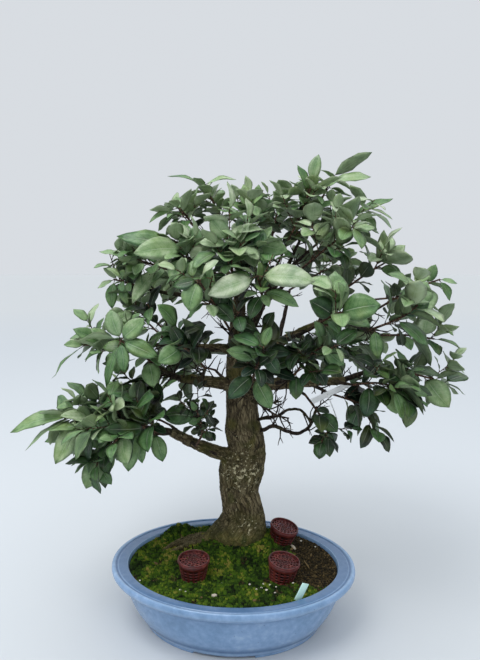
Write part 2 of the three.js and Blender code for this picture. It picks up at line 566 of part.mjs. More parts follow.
function seededLeaf(spray, line, number, random) {
  const part = FIRST_LEAF + (LAST_LEAF - FIRST_LEAF) * Math.sqrt((number + random()) / spray.seeded);
  const { point, way } = along(line, part);
  const turn = number * LEAF_TURN + Math.PI * random();
  const spread = BASE_SPREAD - (BASE_SPREAD - TIP_SPREAD) * part + 0.5 * (random() - 0.5);
  const level = Math.abs(way.z) > 0.9 ? new THREE.Vector3(1, 0, 0) : new THREE.Vector3(0, 0, 1);
  const side = level.cross(way).normalize();
  const other = way.clone().cross(side);
  const out = side.multiplyScalar(Math.cos(turn)).addScaledVector(other, Math.sin(turn));
  const aim = way.clone().multiplyScalar(Math.cos(spread)).addScaledVector(out, Math.sin(spread));
  aim.z -= LEAF_DROOP;
  aim.normalize();
  const length = spray.length * (0.62 + 0.66 * random());
  const width = length * (0.48 + 0.14 * random());
  const outward = point.clone().sub(new THREE.Vector3(...CROWN_MIDDLE)).normalize();
  const facing = new THREE.Vector3(random() - 0.5, random() - 0.5, 0.75).addScaledVector(outward, 0.7);
  return leafFrame(point, point.clone().addScaledVector(aim, length), width, facing);
}

function placeLeaves() {
  const sticks = woodSticks();
  const taken = [];
  const lines = SPRAYS.map(twigLine);
  SPRAYS.forEach((spray, k) => {
    for (const numbers of spray.leaves) {
      const leaf = handLeaf(lines[k], numbers);
      leaf.large = leaf.width > LARGE_WIDTH;
      taken.push({ owner: spray.name, leaf, marks: leafMarks(leaf) });
    }
  });
  SPRAYS.forEach((spray, k) => {
    const random = seededNumbers(1000 + 77 * k);
    for (let number = 0; number < spray.seeded; number += 1) {
      for (let attempt = 0; attempt < LEAF_TRIES; attempt += 1) {
        const leaf = seededLeaf(spray, lines[k], number, random);
        const marks = leafMarks(leaf);
        if (underDome(leaf) && roomFor(marks, spray.name, sticks, taken)) {
          taken.push({ owner: spray.name, leaf, marks });
          break;
        }
      }
    }
  });
  return taken;
}

// A blade is a box bent at its widest part, narrow at the root and the tip.
function makeBlade(leaf, stations) {
  const last = stations.length - 1;
  const geometry = new THREE.BoxGeometry(1, 1, 1, last, 1, 1);
  const at = geometry.attributes.position;
  for (let i = 0; i < at.count; i += 1) {
    const [part, half] = stations[Math.round((at.getX(i) + 0.5) * last)];
    const place = leafPoint(leaf, part, Math.sign(at.getY(i)) * half);
    place.addScaledVector(leaf.up, at.getZ(i) * LEAF_THICK);
    at.setXYZ(i, place.x, place.y, place.z);
  }
  return solid(geometry);
}

function makeSpray(spray, taken) {
  const line = twigLine(spray);
  const radii = [TWIG_THICK / 2, (TWIG_THICK + TWIG_TIP) / 4, TWIG_TIP / 2];
  const bodies = [limb(line, radii, TWIG_SIDES, firstWayOf(spray.name))];
  for (const one of taken.filter((each) => each.owner === spray.name)) {
    bodies.push(makeBlade(one.leaf, one.leaf.large ? LARGE_BLADE : SMALL_BLADE));
  }
  return mesh(`spray_${spray.name}`, joined(bodies), material(0x7f9a72, 0.6));
}

// Fertiliser baskets
function basketPlace({ at, lean, front }) {
  const place = new THREE.Matrix4().makeTranslation(...at);
  place.multiply(new THREE.Matrix4().makeRotationY(THREE.MathUtils.degToRad(lean)));
  place.multiply(new THREE.Matrix4().makeRotationX(THREE.MathUtils.degToRad(front)));
  return place;
}

function makeBasket(view, basket) {
  const top = BASKET_TOP / 2 - 1.5;
  const low = BASKET_BOTTOM / 2;
  const inner = BASKET_WALL;
  const cup = lathe([[0, 0], [low, 0], [top, BASKET_HEIGHT], [top - inner, BASKET_HEIGHT],
    [low - inner, inner], [0, inner]], BASKET_SIDES);
  const fill = lathe([[0, inner + TOUCH_GAP], [low - inner - 0.5, inner + TOUCH_GAP],
    [top - inner - 1.1, BASKET_HEIGHT - 3], [0, BASKET_HEIGHT - 2]], BASKET_SIDES);
  const edge = BASKET_TOP / 2;
  const under = BASKET_HEIGHT + TOUCH_GAP;
  const lid = lathe([[0, under], [edge, under], [edge, under + LID_THICK], [edge - 1.6, under + LID_THICK],
    [edge - 1.6, under + LID_THICK - 0.8], [0, under + LID_THICK - 0.8]], BASKET_SIDES);
  const plastic = material(0x5a1d1a, 0.5);
  const pieces = [['cup', cup, plastic], ['lid', lid, plastic], ['fill', fill, material(0x3a2c1c, 0.95)]];
  for (const [kind, geometry, look] of pieces) {
    geometry.applyMatrix4(basketPlace(basket));
    view.add(mesh(`${basket.name}_${kind}`, solid(geometry), look));
  }
}

// Plant label
function labelPlace() {
  const place = new THREE.Matrix4().makeTranslation(...LABEL_PLACE);
  const [back, lean, turn] = LABEL_TURN.map(THREE.MathUtils.degToRad);
  place.multiply(new THREE.Matrix4().makeRotationZ(turn));
  place.multiply(new THREE.Matrix4().makeRotationY(lean));
  place.multiply(new THREE.Matrix4().makeRotationX(back));
  return place;
}

function makeLabel() {
  const half = LABEL_WIDTH / 2;
  const outline = new THREE.Shape([[-half, 20], [-half, -6], [0, -14], [half, -6], [half, 20]]
    .map(([x, z]) => new THREE.Vector2(x, z)));
  const geometry = new THREE.ExtrudeGeometry(outline, { depth: LABEL_THICK, bevelEnabled: false });
  geometry.rotateX(Math.PI / 2);
  geometry.translate(0, LABEL_THICK / 2, 0);
  geometry.applyMatrix4(labelPlace());
  return mesh('plant_label', solid(geometry), material(0xd6f0e4, 0.4));
}

// White strap that lies against the lower right limb, with a thin tail
function strapWay() {
  const turn = THREE.MathUtils.degToRad(STRAP.rise);
  return new THREE.Vector3(Math.cos(turn), 0, Math.sin(turn));
}

function makeStrap() {
  const geometry = new THREE.BoxGeometry(...STRAP.size);
  geometry.rotateY(-THREE.MathUtils.degToRad(STRAP.rise));
  geometry.translate(...STRAP.middle);
  const radius = STRAP_TAIL_THICK / 2;
  const tail = limb(vectors(STRAP_TAIL), [radius, radius, radius], 4);
  return mesh('white_strap', solid(geometry).add(tail), material(0xf2f4f5, 0.4));
}

const group = new THREE.Group();
const view = new THREE.Group();
view.rotation.z = VIEW_TURN;
group.add(makePot(), makeSoil(), view);
view.add(makeTrunk(), makeLabel(), makeStrap());
const taken = placeLeaves();
for (const spray of SPRAYS) {
  view.add(makeSpray(spray, taken));
}
for (const basket of BASKETS) {
  makeBasket(view, basket);
}

// The origin is the middle of the bottom of the whole plant.
group.updateMatrixWorld(true);
const box = new THREE.Box3().setFromObject(group, true);
const middle = box.getCenter(new THREE.Vector3());
group.position.set(-middle.x, -middle.y, -box.min.z);

export default group;
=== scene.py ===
# %% [markdown]
# # A thorny olive bonsai
#
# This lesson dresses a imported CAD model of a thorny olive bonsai.
# The CAD gives every piece its place and its size.
# Each step below makes a finer piece that stands for one or more CAD pieces and keeps their form.
# Blender works in metres, but a gardener measures a bonsai in millimetres, so every size here is
# written in millimetres and one matrix takes a finished piece to its place.

# %% Frame
import math

import bmesh
import bpy
import numpy as np
from mathutils import Matrix, Vector, noise


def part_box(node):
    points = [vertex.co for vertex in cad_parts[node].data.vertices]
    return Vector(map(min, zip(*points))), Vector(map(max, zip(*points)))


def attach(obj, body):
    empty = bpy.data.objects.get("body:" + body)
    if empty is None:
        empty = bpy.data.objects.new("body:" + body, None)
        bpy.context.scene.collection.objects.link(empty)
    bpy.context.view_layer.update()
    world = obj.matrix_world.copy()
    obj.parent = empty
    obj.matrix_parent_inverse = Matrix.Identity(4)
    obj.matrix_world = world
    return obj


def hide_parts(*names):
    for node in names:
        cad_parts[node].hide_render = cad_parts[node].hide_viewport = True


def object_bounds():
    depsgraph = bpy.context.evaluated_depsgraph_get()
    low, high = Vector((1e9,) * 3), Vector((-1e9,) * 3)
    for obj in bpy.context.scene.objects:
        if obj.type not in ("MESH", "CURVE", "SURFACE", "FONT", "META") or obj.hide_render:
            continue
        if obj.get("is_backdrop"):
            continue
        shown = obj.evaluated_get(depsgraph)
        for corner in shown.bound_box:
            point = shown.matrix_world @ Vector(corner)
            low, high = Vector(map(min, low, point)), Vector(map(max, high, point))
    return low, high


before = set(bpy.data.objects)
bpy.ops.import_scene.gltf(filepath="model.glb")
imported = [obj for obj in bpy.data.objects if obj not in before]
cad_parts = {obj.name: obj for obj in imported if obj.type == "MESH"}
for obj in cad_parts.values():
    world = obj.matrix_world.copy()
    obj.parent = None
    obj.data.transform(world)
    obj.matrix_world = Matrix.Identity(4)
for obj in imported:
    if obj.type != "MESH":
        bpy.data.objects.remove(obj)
cad_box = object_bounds()
# Noise vectors start from the clock unless they get a seed, and the limbs and the bark use them.
noise.seed_set(41)
print("CAD box", [round(x, 3) for x in (*cad_box[0], *cad_box[1])])

# %% [markdown]
# ## Two ways to look at the plant
#
# The pot's long side lies along X.
# The tree is described as it is seen from the front, which is turned a little from the pot.
# So there are two matrices from millimetres: one for what belongs to the pot, and one for the view.

# %% Places
MM = 0.001
VIEW_TURN = math.radians(6.1)
pot_low, pot_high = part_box("pot")
POT_MIDDLE = Vector(((pot_low.x + pot_high.x) / 2, (pot_low.y + pot_high.y) / 2, 0))
POT_PLACE = Matrix.Translation(POT_MIDDLE) @ Matrix.Scale(MM, 4)
SEEN_PLACE = POT_PLACE @ Matrix.Rotation(VIEW_TURN, 4, "Z")
print("middle of the pot", [round(x, 4) for x in POT_MIDDLE])

# %% [markdown]
# ## The camera
#
# The camera comes first, because it decides which details will be seen.
# It stands on the viewer's side at half a metre of height and looks down a little.
# The lens is worked out from the focal length in pixels, on a frame that is 660 pixels high.

# %% Camera
CAMERA_AT = Vector((11.1, -784.5, 516))
CAMERA_DOWN = math.radians(6.68)
FOCAL_PIXELS = 560
FRAME_HEIGHT = 660
SENSOR = 36

camera_data = bpy.data.cameras.new("camera")
camera_data.sensor_width = SENSOR
camera_data.lens = FOCAL_PIXELS / FRAME_HEIGHT * SENSOR
camera_data.clip_start = 0.01
camera_data.clip_end = 100
camera = bpy.data.objects.new("camera", camera_data)
camera.location = SEEN_PLACE @ CAMERA_AT
camera.rotation_euler = (math.radians(90) - CAMERA_DOWN, 0, VIEW_TURN)
bpy.context.scene.collection.objects.link(camera)
bpy.context.scene.camera = camera
print("camera at", [round(x, 3) for x in camera.location], "lens", round(camera_data.lens, 2))

# %% [markdown]
# ## Helpers that every piece uses
#
# A colour is written as an sRGB hex value, as a paint chart gives it, and one function turns it
# to the linear numbers that a shader needs.
# A second one adds a node with its settings and links, and returns the output that is used.
# It takes sockets by name or by place. A Math node has the places 0 and 1, and a Mix node has 0 for
# its factor, 2 and 3 for two numbers, and 6 and 7 for two colours.
# A third one finishes a piece: it puts the mesh in place, gives it its materials, tells the
# frame what it rides on and hides the CAD pieces that it stands for.

# %% Helpers
def clamped(value):
    """A number kept between 0 and 1."""
    return min(max(value, 0), 1)


def colour(code):
    """An sRGB hex colour as linear RGBA."""
    parts = [int(code[i:i + 2], 16) / 255 for i in (1, 3, 5)]
    linear = [p / 12.92 if p <= 0.04045 else ((p + 0.055) / 1.055) ** 2.4 for p in parts]
    return (*linear, 1.0)


def node(tree, kind, settings=None, inputs=None, out=0):
    """Adds a shader node and returns one of its outputs.

    An input is a number, a hex colour, or another node's output to link. The setting "stops" fills
    a colour ramp with (place, hex colour) pairs.
    """
    made = tree.nodes.new("ShaderNode" + kind)
    for name, value in (settings or {}).items():
        if name == "stops":
            elements = made.color_ramp.elements
            while len(elements) < len(value):
                elements.new(0.5)
            for element, (place, code) in zip(elements, value):
                element.position = place
                element.color = colour(code)
        else:
            setattr(made, name, value)
    for name, value in (inputs or {}).items():
        socket = made.inputs[name]
        if isinstance(value, bpy.types.NodeSocket):
            tree.links.new(value, socket)
        else:
            socket.default_value = colour(value) if isinstance(value, str) else value
    return made.outputs[out]


def new_material(name, roughness, ior=1.5, specular=0.5):
    """An empty material, the tree to build in, and its Principled shader."""
    made = bpy.data.materials.new(name)
    made.use_nodes = True
    shader = made.node_tree.nodes["Principled BSDF"]
    shader.inputs["Roughness"].default_value = roughness
    shader.inputs["IOR"].default_value = ior
    shader.inputs["Specular IOR Level"].default_value = specular
    return made, made.node_tree, shader


def surface(tree, shader, base, height=None, strength=0.0, distance=0.0):
    """Gives a material its colour, and a fine relief of a depth in millimetres."""
    tree.links.new(base, shader.inputs["Base Color"])
    if height is not None:
        bump = node(tree, "Bump", {}, {"Height": height, "Strength": strength, "Distance": distance * MM})
        tree.links.new(bump, shader.inputs["Normal"])


def finish_piece(bm, name, place, looks, stands_for=()):
    """The bmesh becomes a piece of the plant, in metres."""
    bmesh.ops.transform(bm, matrix=place, verts=bm.verts)
    mesh = bpy.data.meshes.new(name)
    bm.to_mesh(mesh)
    bm.free()
    for look in looks:
        mesh.materials.append(look)
    mesh.shade_smooth()
    piece = bpy.data.objects.new(name, mesh)
    bpy.context.scene.collection.objects.link(piece)
    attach(piece, "root")
    if stands_for:
        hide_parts(*stands_for)
    print(f"{name}: {len(mesh.polygons)} faces")
    return piece


# %% [markdown]
# ## The blue glaze
#
# The pot is stoneware under a cobalt glaze. While it melts in the kiln, the glaze runs off the
# edges and gathers in the grooves: it is pale and thin on an edge, and deep blue in a hollow.
# One vertex attribute holds how much of an edge each place is and another one how much of a hollow.
# Soft noise makes the mottling.

# %% Glaze
POT_LENGTH = 359
POT_DEPTH = 272
POT_HEIGHT = 83
BASE_LENGTH = 268
BASE_DEPTH = 210
OVAL_HEIGHT = 62
MOTTLE = 9
CLOUD = 60
SPECK = 1.4
SPECK_APART = 14

# A glass skin over clay: a clear soft shine on a mottled blue that is deep where the glaze pools.
glaze, tree, shader = new_material("cobalt glaze on stoneware, kiln fired", 0.24)
shader.inputs["Coat Weight"].default_value = 0.15
shader.inputs["Coat Roughness"].default_value = 0.12
place = node(tree, "TexCoord", out="Object")
mottle = node(tree, "TexNoise", {},
              {"Vector": place, "Scale": 1 / (MOTTLE * MM), "Detail": 4.0, "Roughness": 0.6})
cloud = node(tree, "TexNoise", {}, {"Vector": place, "Scale": 1 / (CLOUD * MM), "Detail": 2.0})
mixed = node(tree, "Mix", {}, {0: 0.4, 2: mottle, 3: cloud})
base = node(tree, "ValToRGB", {"stops": [
    (0.3, "#6585a8"), (0.47, "#7495ba"), (0.58, "#819fc4"), (0.72, "#98b3cf")]},
            {0: mixed})
edge = node(tree, "Attribute", {"attribute_name": "edge"}, out="Fac")
edge = node(tree, "Math", {"operation": "MULTIPLY", "use_clamp": True}, {0: edge, 1: 0.28})
base = node(tree, "Mix", {"data_type": "RGBA"}, {0: edge, 6: base, 7: "#a9c1dc"}, 2)
hollow = node(tree, "Attribute", {"attribute_name": "hollow"}, out="Fac")
hollow = node(tree, "Math", {"operation": "MULTIPLY", "use_clamp": True}, {0: hollow, 1: 0.75})
base = node(tree, "Mix", {"data_type": "RGBA"}, {0: hollow, 6: base, 7: "#30527a"}, 2)
apart = node(tree, "TexVoronoi", {}, {"Vector": place, "Scale": 1 / (SPECK_APART * MM)})
dot = node(tree, "Math", {"operation": "LESS_THAN"}, {0: apart, 1: 0.5 * SPECK / SPECK_APART})
dot = node(tree, "Math", {"operation": "MULTIPLY"}, {0: dot, 1: 0.6})
base = node(tree, "Mix", {"data_type": "RGBA"}, {0: dot, 6: base, 7: "#3a4c74"}, 2)
surface(tree, shader, base, mottle, 0.08, 0.5)
print("glaze made")

# %% [markdown]
# ## The oval pot
#
# A potter throws a pot round and presses it oval while the clay is soft. The mesh is made the
# same way: a profile of the wall is spun into a round pot and then pressed in depth, more at the
# foot than at the rim. The profile's corners are rounded first, because no glazed edge is sharp.

# %% Pot
POT_FLOOR = 12
FLOOR_EDGE = 52
FOOT_HEIGHT = 3
FOOT_RING = 14
FOOT_INSET = 3
FOOT_BEVEL = 0.8
FOOT_GAP = 80
POT_STEPS = 160
# The inner wall: its distance from the rim's edge at the top and at its waist, and both heights.
WALL_TOP, WALL_TOP_HEIGHT = 26.5, 70
WALL_WAIST, WALL_WAIST_HEIGHT = 33, 52
# How far the pale glaze reaches from an edge, and the deep glaze from a hollow.
EDGE_REACH = 1.7
HOLLOW_REACH = 2.3


def rounded(corners, steps=4):
    """A line through (r, z, rounding) corners, with each corner cut to a small curve."""
    line = []
    last = len(corners) - 1
    for k, (r, z, cut) in enumerate(corners):
        here = Vector((r, 0, z))
        if k in (0, last) or cut == 0:
            line.append(here)
            continue
        before = Vector((corners[k - 1][0], 0, corners[k - 1][1])) - here
        after = Vector((corners[k + 1][0], 0, corners[k + 1][1])) - here
        start = here + before.normalized() * min(cut, before.length * 0.48)
        end = here + after.normalized() * min(cut, after.length * 0.48)
        for i in range(steps + 1):
            t = i / steps
            line.append(start * (1 - t) ** 2 + here * 2 * t * (1 - t) + end * t ** 2)
    return line


def spin_line(bm, line, steps, angle=math.tau, start=0.0, closed=False):
    """Spins a line of points about the upright axis."""
    turn = Matrix.Rotation(start, 3, "Z")
    verts = [bm.verts.new(turn @ point) for point in line]
    edges = [bm.edges.new(pair) for pair in zip(verts, verts[1:])]
    if closed:
        edges.append(bm.edges.new((verts[-1], verts[0])))
    full = abs(angle - math.tau) < 1e-6
    bmesh.ops.spin(bm, geom=verts + edges, cent=(0, 0, 0), axis=(0, 0, 1), angle=angle, steps=steps,
                   use_merge=full)
    bmesh.ops.remove_doubles(bm, verts=bm.verts, dist=0.01)


def narrowing(z):
    """How much of its length the oval's depth is at a height."""
    top, low = POT_DEPTH / POT_LENGTH, BASE_DEPTH / BASE_LENGTH
    return low + (top - low) * clamped(z / OVAL_HEIGHT)


def press_oval(bm):
    """Presses a round shape oval in depth."""
    for vert in bm.verts:
        vert.co.y *= narrowing(vert.co.z)


RIM = POT_LENGTH / 2
BASE = BASE_LENGTH / 2
POT_PROFILE = [(0, FOOT_HEIGHT, 0), (BASE - 3, FOOT_HEIGHT, 1), (BASE, 6, 2), (BASE + 3, 10.5, 2),
               (BASE + 16, 30, 12), (BASE + 24, 52, 12), (BASE + 27.5, 68.8, 2.5), (RIM - 5, 70, 2.5),
               (RIM - 0.3, 75.5, 3), (RIM - 1.6, POT_HEIGHT, 2.6), (RIM - 6.2, POT_HEIGHT, 2),
               (RIM - 8.4, 80.6, 1.6), (RIM - 11, 82.2, 2), (RIM - 24.5, 82.4, 1.4), (RIM - WALL_TOP, 76, 2),
               (RIM - 26.7, WALL_TOP_HEIGHT, 2), (RIM - WALL_WAIST, WALL_WAIST_HEIGHT, 6),
               (RIM - FLOOR_EDGE, POT_FLOOR + 2, 6), (0, POT_FLOOR, 0)]
EDGES = [(RIM - 4, POT_HEIGHT), (RIM, 75.5), (RIM - 11, 82.2), (RIM - 24.5, 82.4), (BASE + 1, 7)]
HOLLOWS = [(RIM - 8.4, 80.6), (BASE + 27.5, 67), (BASE + 4, 12.5)]
# Glaze also stands on the flat of the rim.
RIM_FLAT = (RIM - 24, RIM - 11)
RIM_POOL = 0.85

bm = bmesh.new()
spin_line(bm, rounded(POT_PROFILE), POT_STEPS)
edge_layer = bm.verts.layers.float.new("edge")
hollow_layer = bm.verts.layers.float.new("hollow")
for vert in bm.verts:
    out = math.hypot(vert.co.x, vert.co.y)
    vert[edge_layer] = max(math.exp(-(math.dist((out, vert.co.z), e) / EDGE_REACH) ** 2) for e in EDGES)
    vert[hollow_layer] = max(math.exp(-(math.dist((out, vert.co.z), h) / HOLLOW_REACH) ** 2) for h in HOLLOWS)
    if vert.co.z > POT_HEIGHT - 1.5 and RIM_FLAT[0] < out < RIM_FLAT[1]:
        vert[hollow_layer] = max(vert[hollow_layer], RIM_POOL)
# Two arcs of a ring, sunk a little into the base, with a gap between them at the front and the back.
half_gap = math.asin(FOOT_GAP / 2 / (BASE - FOOT_INSET - FOOT_RING / 2))
arc = math.pi - 2 * half_gap
outer, inner = BASE - FOOT_INSET, BASE - FOOT_INSET - FOOT_RING
ring = [(inner, FOOT_BEVEL), (inner + FOOT_BEVEL, 0), (outer - FOOT_BEVEL, 0), (outer, FOOT_BEVEL),
        (outer, FOOT_HEIGHT + 2), (inner, FOOT_HEIGHT + 2)]
for side in (0, math.pi):
    foot = bmesh.new()
    spin_line(foot, [Vector((r, 0, z)) for r, z in ring], POT_STEPS // 3, arc,
              side - math.pi / 2 + half_gap, closed=True)
    bmesh.ops.holes_fill(foot, edges=[e for e in foot.edges if e.is_boundary])
    part = bpy.data.meshes.new("foot")
    foot.to_mesh(part)
    foot.free()
    bm.from_mesh(part)
press_oval(bm)
bmesh.ops.recalc_face_normals(bm, faces=bm.faces)
finish_piece(bm, "glazed_pot", POT_PLACE, [glaze], ["pot"])

# %% [markdown]
# ## The ground in the pot
#
# The soil rises to the trunk in a low mound and has a hummock behind on the left. Moss has grown
# over most of it, and the right side is bare granular soil. One function gives the height of the
# ground at any place, so that everything that lies on it can ask for it.
# The soil is spun like the pot and its upper side is then lifted to that height.

# %% Ground
SOIL_TOP = 78
SOIL_GAP = 0.6
SOIL_STEPS = 144
SOIL_RINGS = 72
# Half ellipsoids: middle x y z and half sizes. They fade out towards the pot's wall.
MOUND = [(8, 44, 68, 100, 62, 26), (-84, 70, 74, 34, 26, 24)]
MOUND_EDGE = RIM - 31
MOUND_FADE = 14
# Lumps of three sizes: how high, how wide, and the seed. They end before the wall too.
LUMPS = [(2.2, 17, 3.1), (1.2, 7, 8.2), (0.5, 3, 5.7)]
LUMPS_EDGE = RIM - 27
LUMPS_FADE = 10
TRUNK_AT = (8, 56)
TRUNK_FOOT = 44.5
# The moss that is heaped against the trunk: its height and how far it reaches.
COLLAR = 7
COLLAR_REACH = 12
# The bare soil on the right: where it begins to the right and at the front, and how softly.
BARE_RIGHT, BARE_RIGHT_FADE = 70, 24
BARE_FRONT, BARE_FRONT_FADE = -84, 26
# Old roots that lie bare on the left: points from the foot outwards and the thickness at both ends.
BARE_ROOTS = [
    ([(-30, 44, 92), (-50, 37, 89.5), (-72, 35, 85.5), (-98, 28, 77)], (11, 6)),
    ([(-32, 54, 93), (-56, 57, 90.5), (-82, 48, 87.5), (-108, 31, 78)], (11, 6)),
    ([(-40, 48, 91), (-66, 46, 88.5), (-92, 42, 82)], (12, 6)),
]
ROOT_CLEAR = 2.5


def turned(x, y, angle=VIEW_TURN):
    """A place in the view as a place along and across the pot."""
    return (x * math.cos(angle) - y * math.sin(angle), x * math.sin(angle) + y * math.cos(angle))


def rough(x, y, size, seed=0.0):
    """Smooth seeded noise from about -1 to 1 with lumps of a size in millimetres."""
    return noise.noise(Vector((x / size, y / size, seed)))


def ground(x, y):
    """Height of the ground at a place in the view, before moss grows on it."""
    px, py = turned(x, y)
    out = math.hypot(px, py / narrowing(SOIL_TOP))
    top = SOIL_TOP + 2 * (1 - out / RIM)
    heights = [top]
    for cx, cy, cz, a, b, c in MOUND:
        away = ((x - cx) / a) ** 2 + ((y - cy) / b) ** 2
        if away < 1:
            heights.append(cz + c * math.sqrt(1 - away))
    high = max(heights)
    inner = clamped((MOUND_EDGE - out) / MOUND_FADE)
    high = top + (high - top) * inner
    collar = math.hypot(x - TRUNK_AT[0], y - TRUNK_AT[1]) - TRUNK_FOOT
    high += COLLAR * (0.8 + 0.5 * rough(x, y, 20, 6.3)) * math.exp(-(collar / COLLAR_REACH) ** 2)
    lumps = sum(tall * rough(x, y, wide, seed) for tall, wide, seed in LUMPS)
    return high + lumps * clamped((LUMPS_EDGE - out) / LUMPS_FADE)


def moss_cover(x, y):
    """How far moss covers the ground: 1 all over, 0 bare."""
    bare = clamped((x - BARE_RIGHT - 10 * rough(x, y, 30, 1.4)) / BARE_RIGHT_FADE)
    bare *= clamped((y - BARE_FRONT) / BARE_FRONT_FADE)
    patches = clamped((rough(x, y, 14, 4.4) - 0.3) / 0.16)
    return 1 - max(0.85 * bare, 0.55 * patches)


def on_root(x, y):
    """Whether a place lies under one of the bare roots."""
    for points, _ in BARE_ROOTS:
        for (ax, ay, _), (bx, by, _) in zip(points, points[1:]):
            part = clamped(((x - ax) * (bx - ax) + (y - ay) * (by - ay)) / ((bx - ax) ** 2 + (by - ay) ** 2))
            if math.dist((x, y), (ax + part * (bx - ax), ay + part * (by - ay))) < ROOT_CLEAR:
                return True
    return False


low = POT_FLOOR + SOIL_GAP
edge_r = RIM - WALL_TOP - SOIL_GAP
under = [(0, low), (RIM - FLOOR_EDGE - SOIL_GAP, low + 2), (RIM - WALL_WAIST - SOIL_GAP, WALL_WAIST_HEIGHT),
         (edge_r, WALL_TOP_HEIGHT), (edge_r + 0.9, 76)]
line = [Vector((r, 0, z)) for r, z in under]
line += [Vector(((edge_r - 0.6) * (1 - k / SOIL_RINGS), 0, SOIL_TOP)) for k in range(SOIL_RINGS + 1)]
bm = bmesh.new()
spin_line(bm, line, SOIL_STEPS)
press_oval(bm)
moss_layer = bm.verts.layers.float.new("moss")
for vert in bm.verts:
    if vert.co.z > SOIL_TOP - 1:
        x, y = turned(vert.co.x, vert.co.y, -VIEW_TURN)
        vert.co.z = ground(x, y)
        vert[moss_layer] = moss_cover(x, y)
bmesh.ops.recalc_face_normals(bm, faces=bm.faces)
soil_mesh = bm
print("ground:", len(soil_mesh.faces), "faces")

# %% [markdown]
# ## Earth and moss
#
# Bonsai soil is baked clay in grains of a few millimetres, dark brown where it is wet. The moss is
# bright green with yellow tips, and it is brown where it is dry. Both are matt.
# The soil's material mixes the two by the cover that each vertex keeps.

# %% Soil materials
GRAIN = 3.2
TUFT = 5
PATCH = 34

# Wet clay grains are dark, each with its own brown. Moss covers them with no shine at all.
earth, tree, shader = new_material("wet baked clay soil under moss, granular", 0.95, specular=0.15)
place = node(tree, "TexCoord", out="Object")
grains = node(tree, "TexVoronoi", {}, {"Vector": place, "Scale": 1 / (GRAIN * MM)}, "Color")
grain_tone = node(tree, "SeparateColor", {}, {0: grains})
brown = node(tree, "ValToRGB", {"stops": [
    (0, "#12100a"), (0.45, "#272112"), (0.8, "#3e341f"), (1, "#5c4f33")]},
             {0: grain_tone})
fine = node(tree, "TexNoise", {},
            {"Vector": place, "Scale": 1 / (TUFT * MM), "Detail": 5.0, "Roughness": 0.7})
wide = node(tree, "TexNoise", {}, {"Vector": place, "Scale": 1 / (PATCH * MM), "Detail": 3.0})
mixed = node(tree, "Mix", {}, {0: 0.45, 2: fine, 3: wide})
green = node(tree, "ValToRGB", {"stops": [
    (0.36, "#111b08"), (0.47, "#22360d"), (0.56, "#3a5412"), (0.66, "#66701f")]},
             {0: mixed})
cover = node(tree, "Attribute", {"attribute_name": "moss"}, out="Fac")
ragged = node(tree, "Math", {"operation": "SUBTRACT"}, {0: fine, 1: 0.5})
ragged = node(tree, "Math", {"operation": "MULTIPLY_ADD"}, {0: ragged, 1: 1.1, 2: cover})
mask = node(tree, "ValToRGB", {"stops": [(0.42, "#000000"), (0.58, "#ffffff")]}, {0: ragged})
base = node(tree, "Mix", {"data_type": "RGBA"}, {0: mask, 6: brown, 7: green}, 2)
surface(tree, shader, base, fine, 0.7, 2)
finish_piece(soil_mesh, "mossy_soil", POT_PLACE, [earth], ["soil"])

# Each cushion has one tone, from black green in the wet to straw where it has dried.
moss_look, tree, shader = new_material("living moss, matt", 0.9, specular=0.15)
tone = node(tree, "Attribute", {"attribute_name": "tone"}, out="Fac")
surface(tree, shader, node(tree, "ValToRGB", {"stops": [
    (0, "#101a08"), (0.3, "#263c10"), (0.58, "#405c15"), (0.8, "#657520"), (1, "#877c3c")]}, {0: tone}))

# Loose grains lie drier and paler than the soil below. The last tone is for white pumice.
grit_look, tree, shader = new_material("baked clay grains, matt", 0.9, specular=0.2)
tone = node(tree, "Attribute", {"attribute_name": "tone"}, out="Fac")
surface(tree, shader, node(tree, "ValToRGB", {"stops": [
    (0, "#15110a"), (0.4, "#2b2413"), (0.8, "#473a22"), (0.93, "#72603f"), (1, "#dcd6c8")]}, {0: tone}))

# %% [markdown]
# ## Tufts and grains
#
# Moss is a carpet of small cushions. One cushion is half an icosahedron with a point raised in the
# middle of each upper face, and it is set down thousands of times, turned and scaled by seeded numbers.
# The grains are whole icosahedra, pressed a little out of shape. Both keep a tone on each vertex,
# so that one material can give every one its own colour.

# %% Scatter
POT_SPAN = 151
TUFTS = 5400
TRUNK_CLEAR = TRUNK_FOOT - 5
# Where the moss has dried on the hummock: its middle and how far it reaches.
DRY_AT = (-74, 44)
DRY_REACH = (34, 20)
GRAINS = 2600
WHITE_GRAINS = [(24.8, -62.0), (57.9, -82.3), (40, -70), (47, -75), (33, -74), (52, -66), (60, -71),
                (44, -61), (-62, -78), (-70, -74), (-128, -52), (128, 40), (108, 62), (84, -60), (-14, -60)]
WHITE_LIFT = 1.6
# Things that have fallen on the ground: middle x y, half sizes, turn and tone.
LITTER = [((-23, -89), (4.5, 3, 2.2), 10, 0.97), ((93, 34), (3.2, 9, 1.0), 25, 0.96),
          ((90, 28), (2.5, 5, 1.2), -40, 0.9), ((108, -16), (1.1, 11, 0.8), 18, 0.92),
          ((-40, -95), (3, 2, 1.5), 60, 0.88), ((118, 14), (2, 5, 0.7), -15, 0.85),
          ((30, -100), (3, 2.4, 1.4), 15, 0.9), ((-112, -8), (2.5, 6, 0.8), 50, 0.86)]
LITTER_LIFT = 2.2
LITTER_TILT = 0.12


def scatter(shape, places):
    """Sets a small mesh at (matrix, tone) places and returns them as one bmesh."""
    together = bmesh.new()
    together.verts.layers.float.new("tone")
    tone_values = shape.attributes["tone"].data
    for matrix, tone in places:
        shape.transform(matrix)
        tone_values.foreach_set("value", [tone] * len(tone_values))
        together.from_mesh(shape)
        shape.transform(matrix.inverted())
    return together


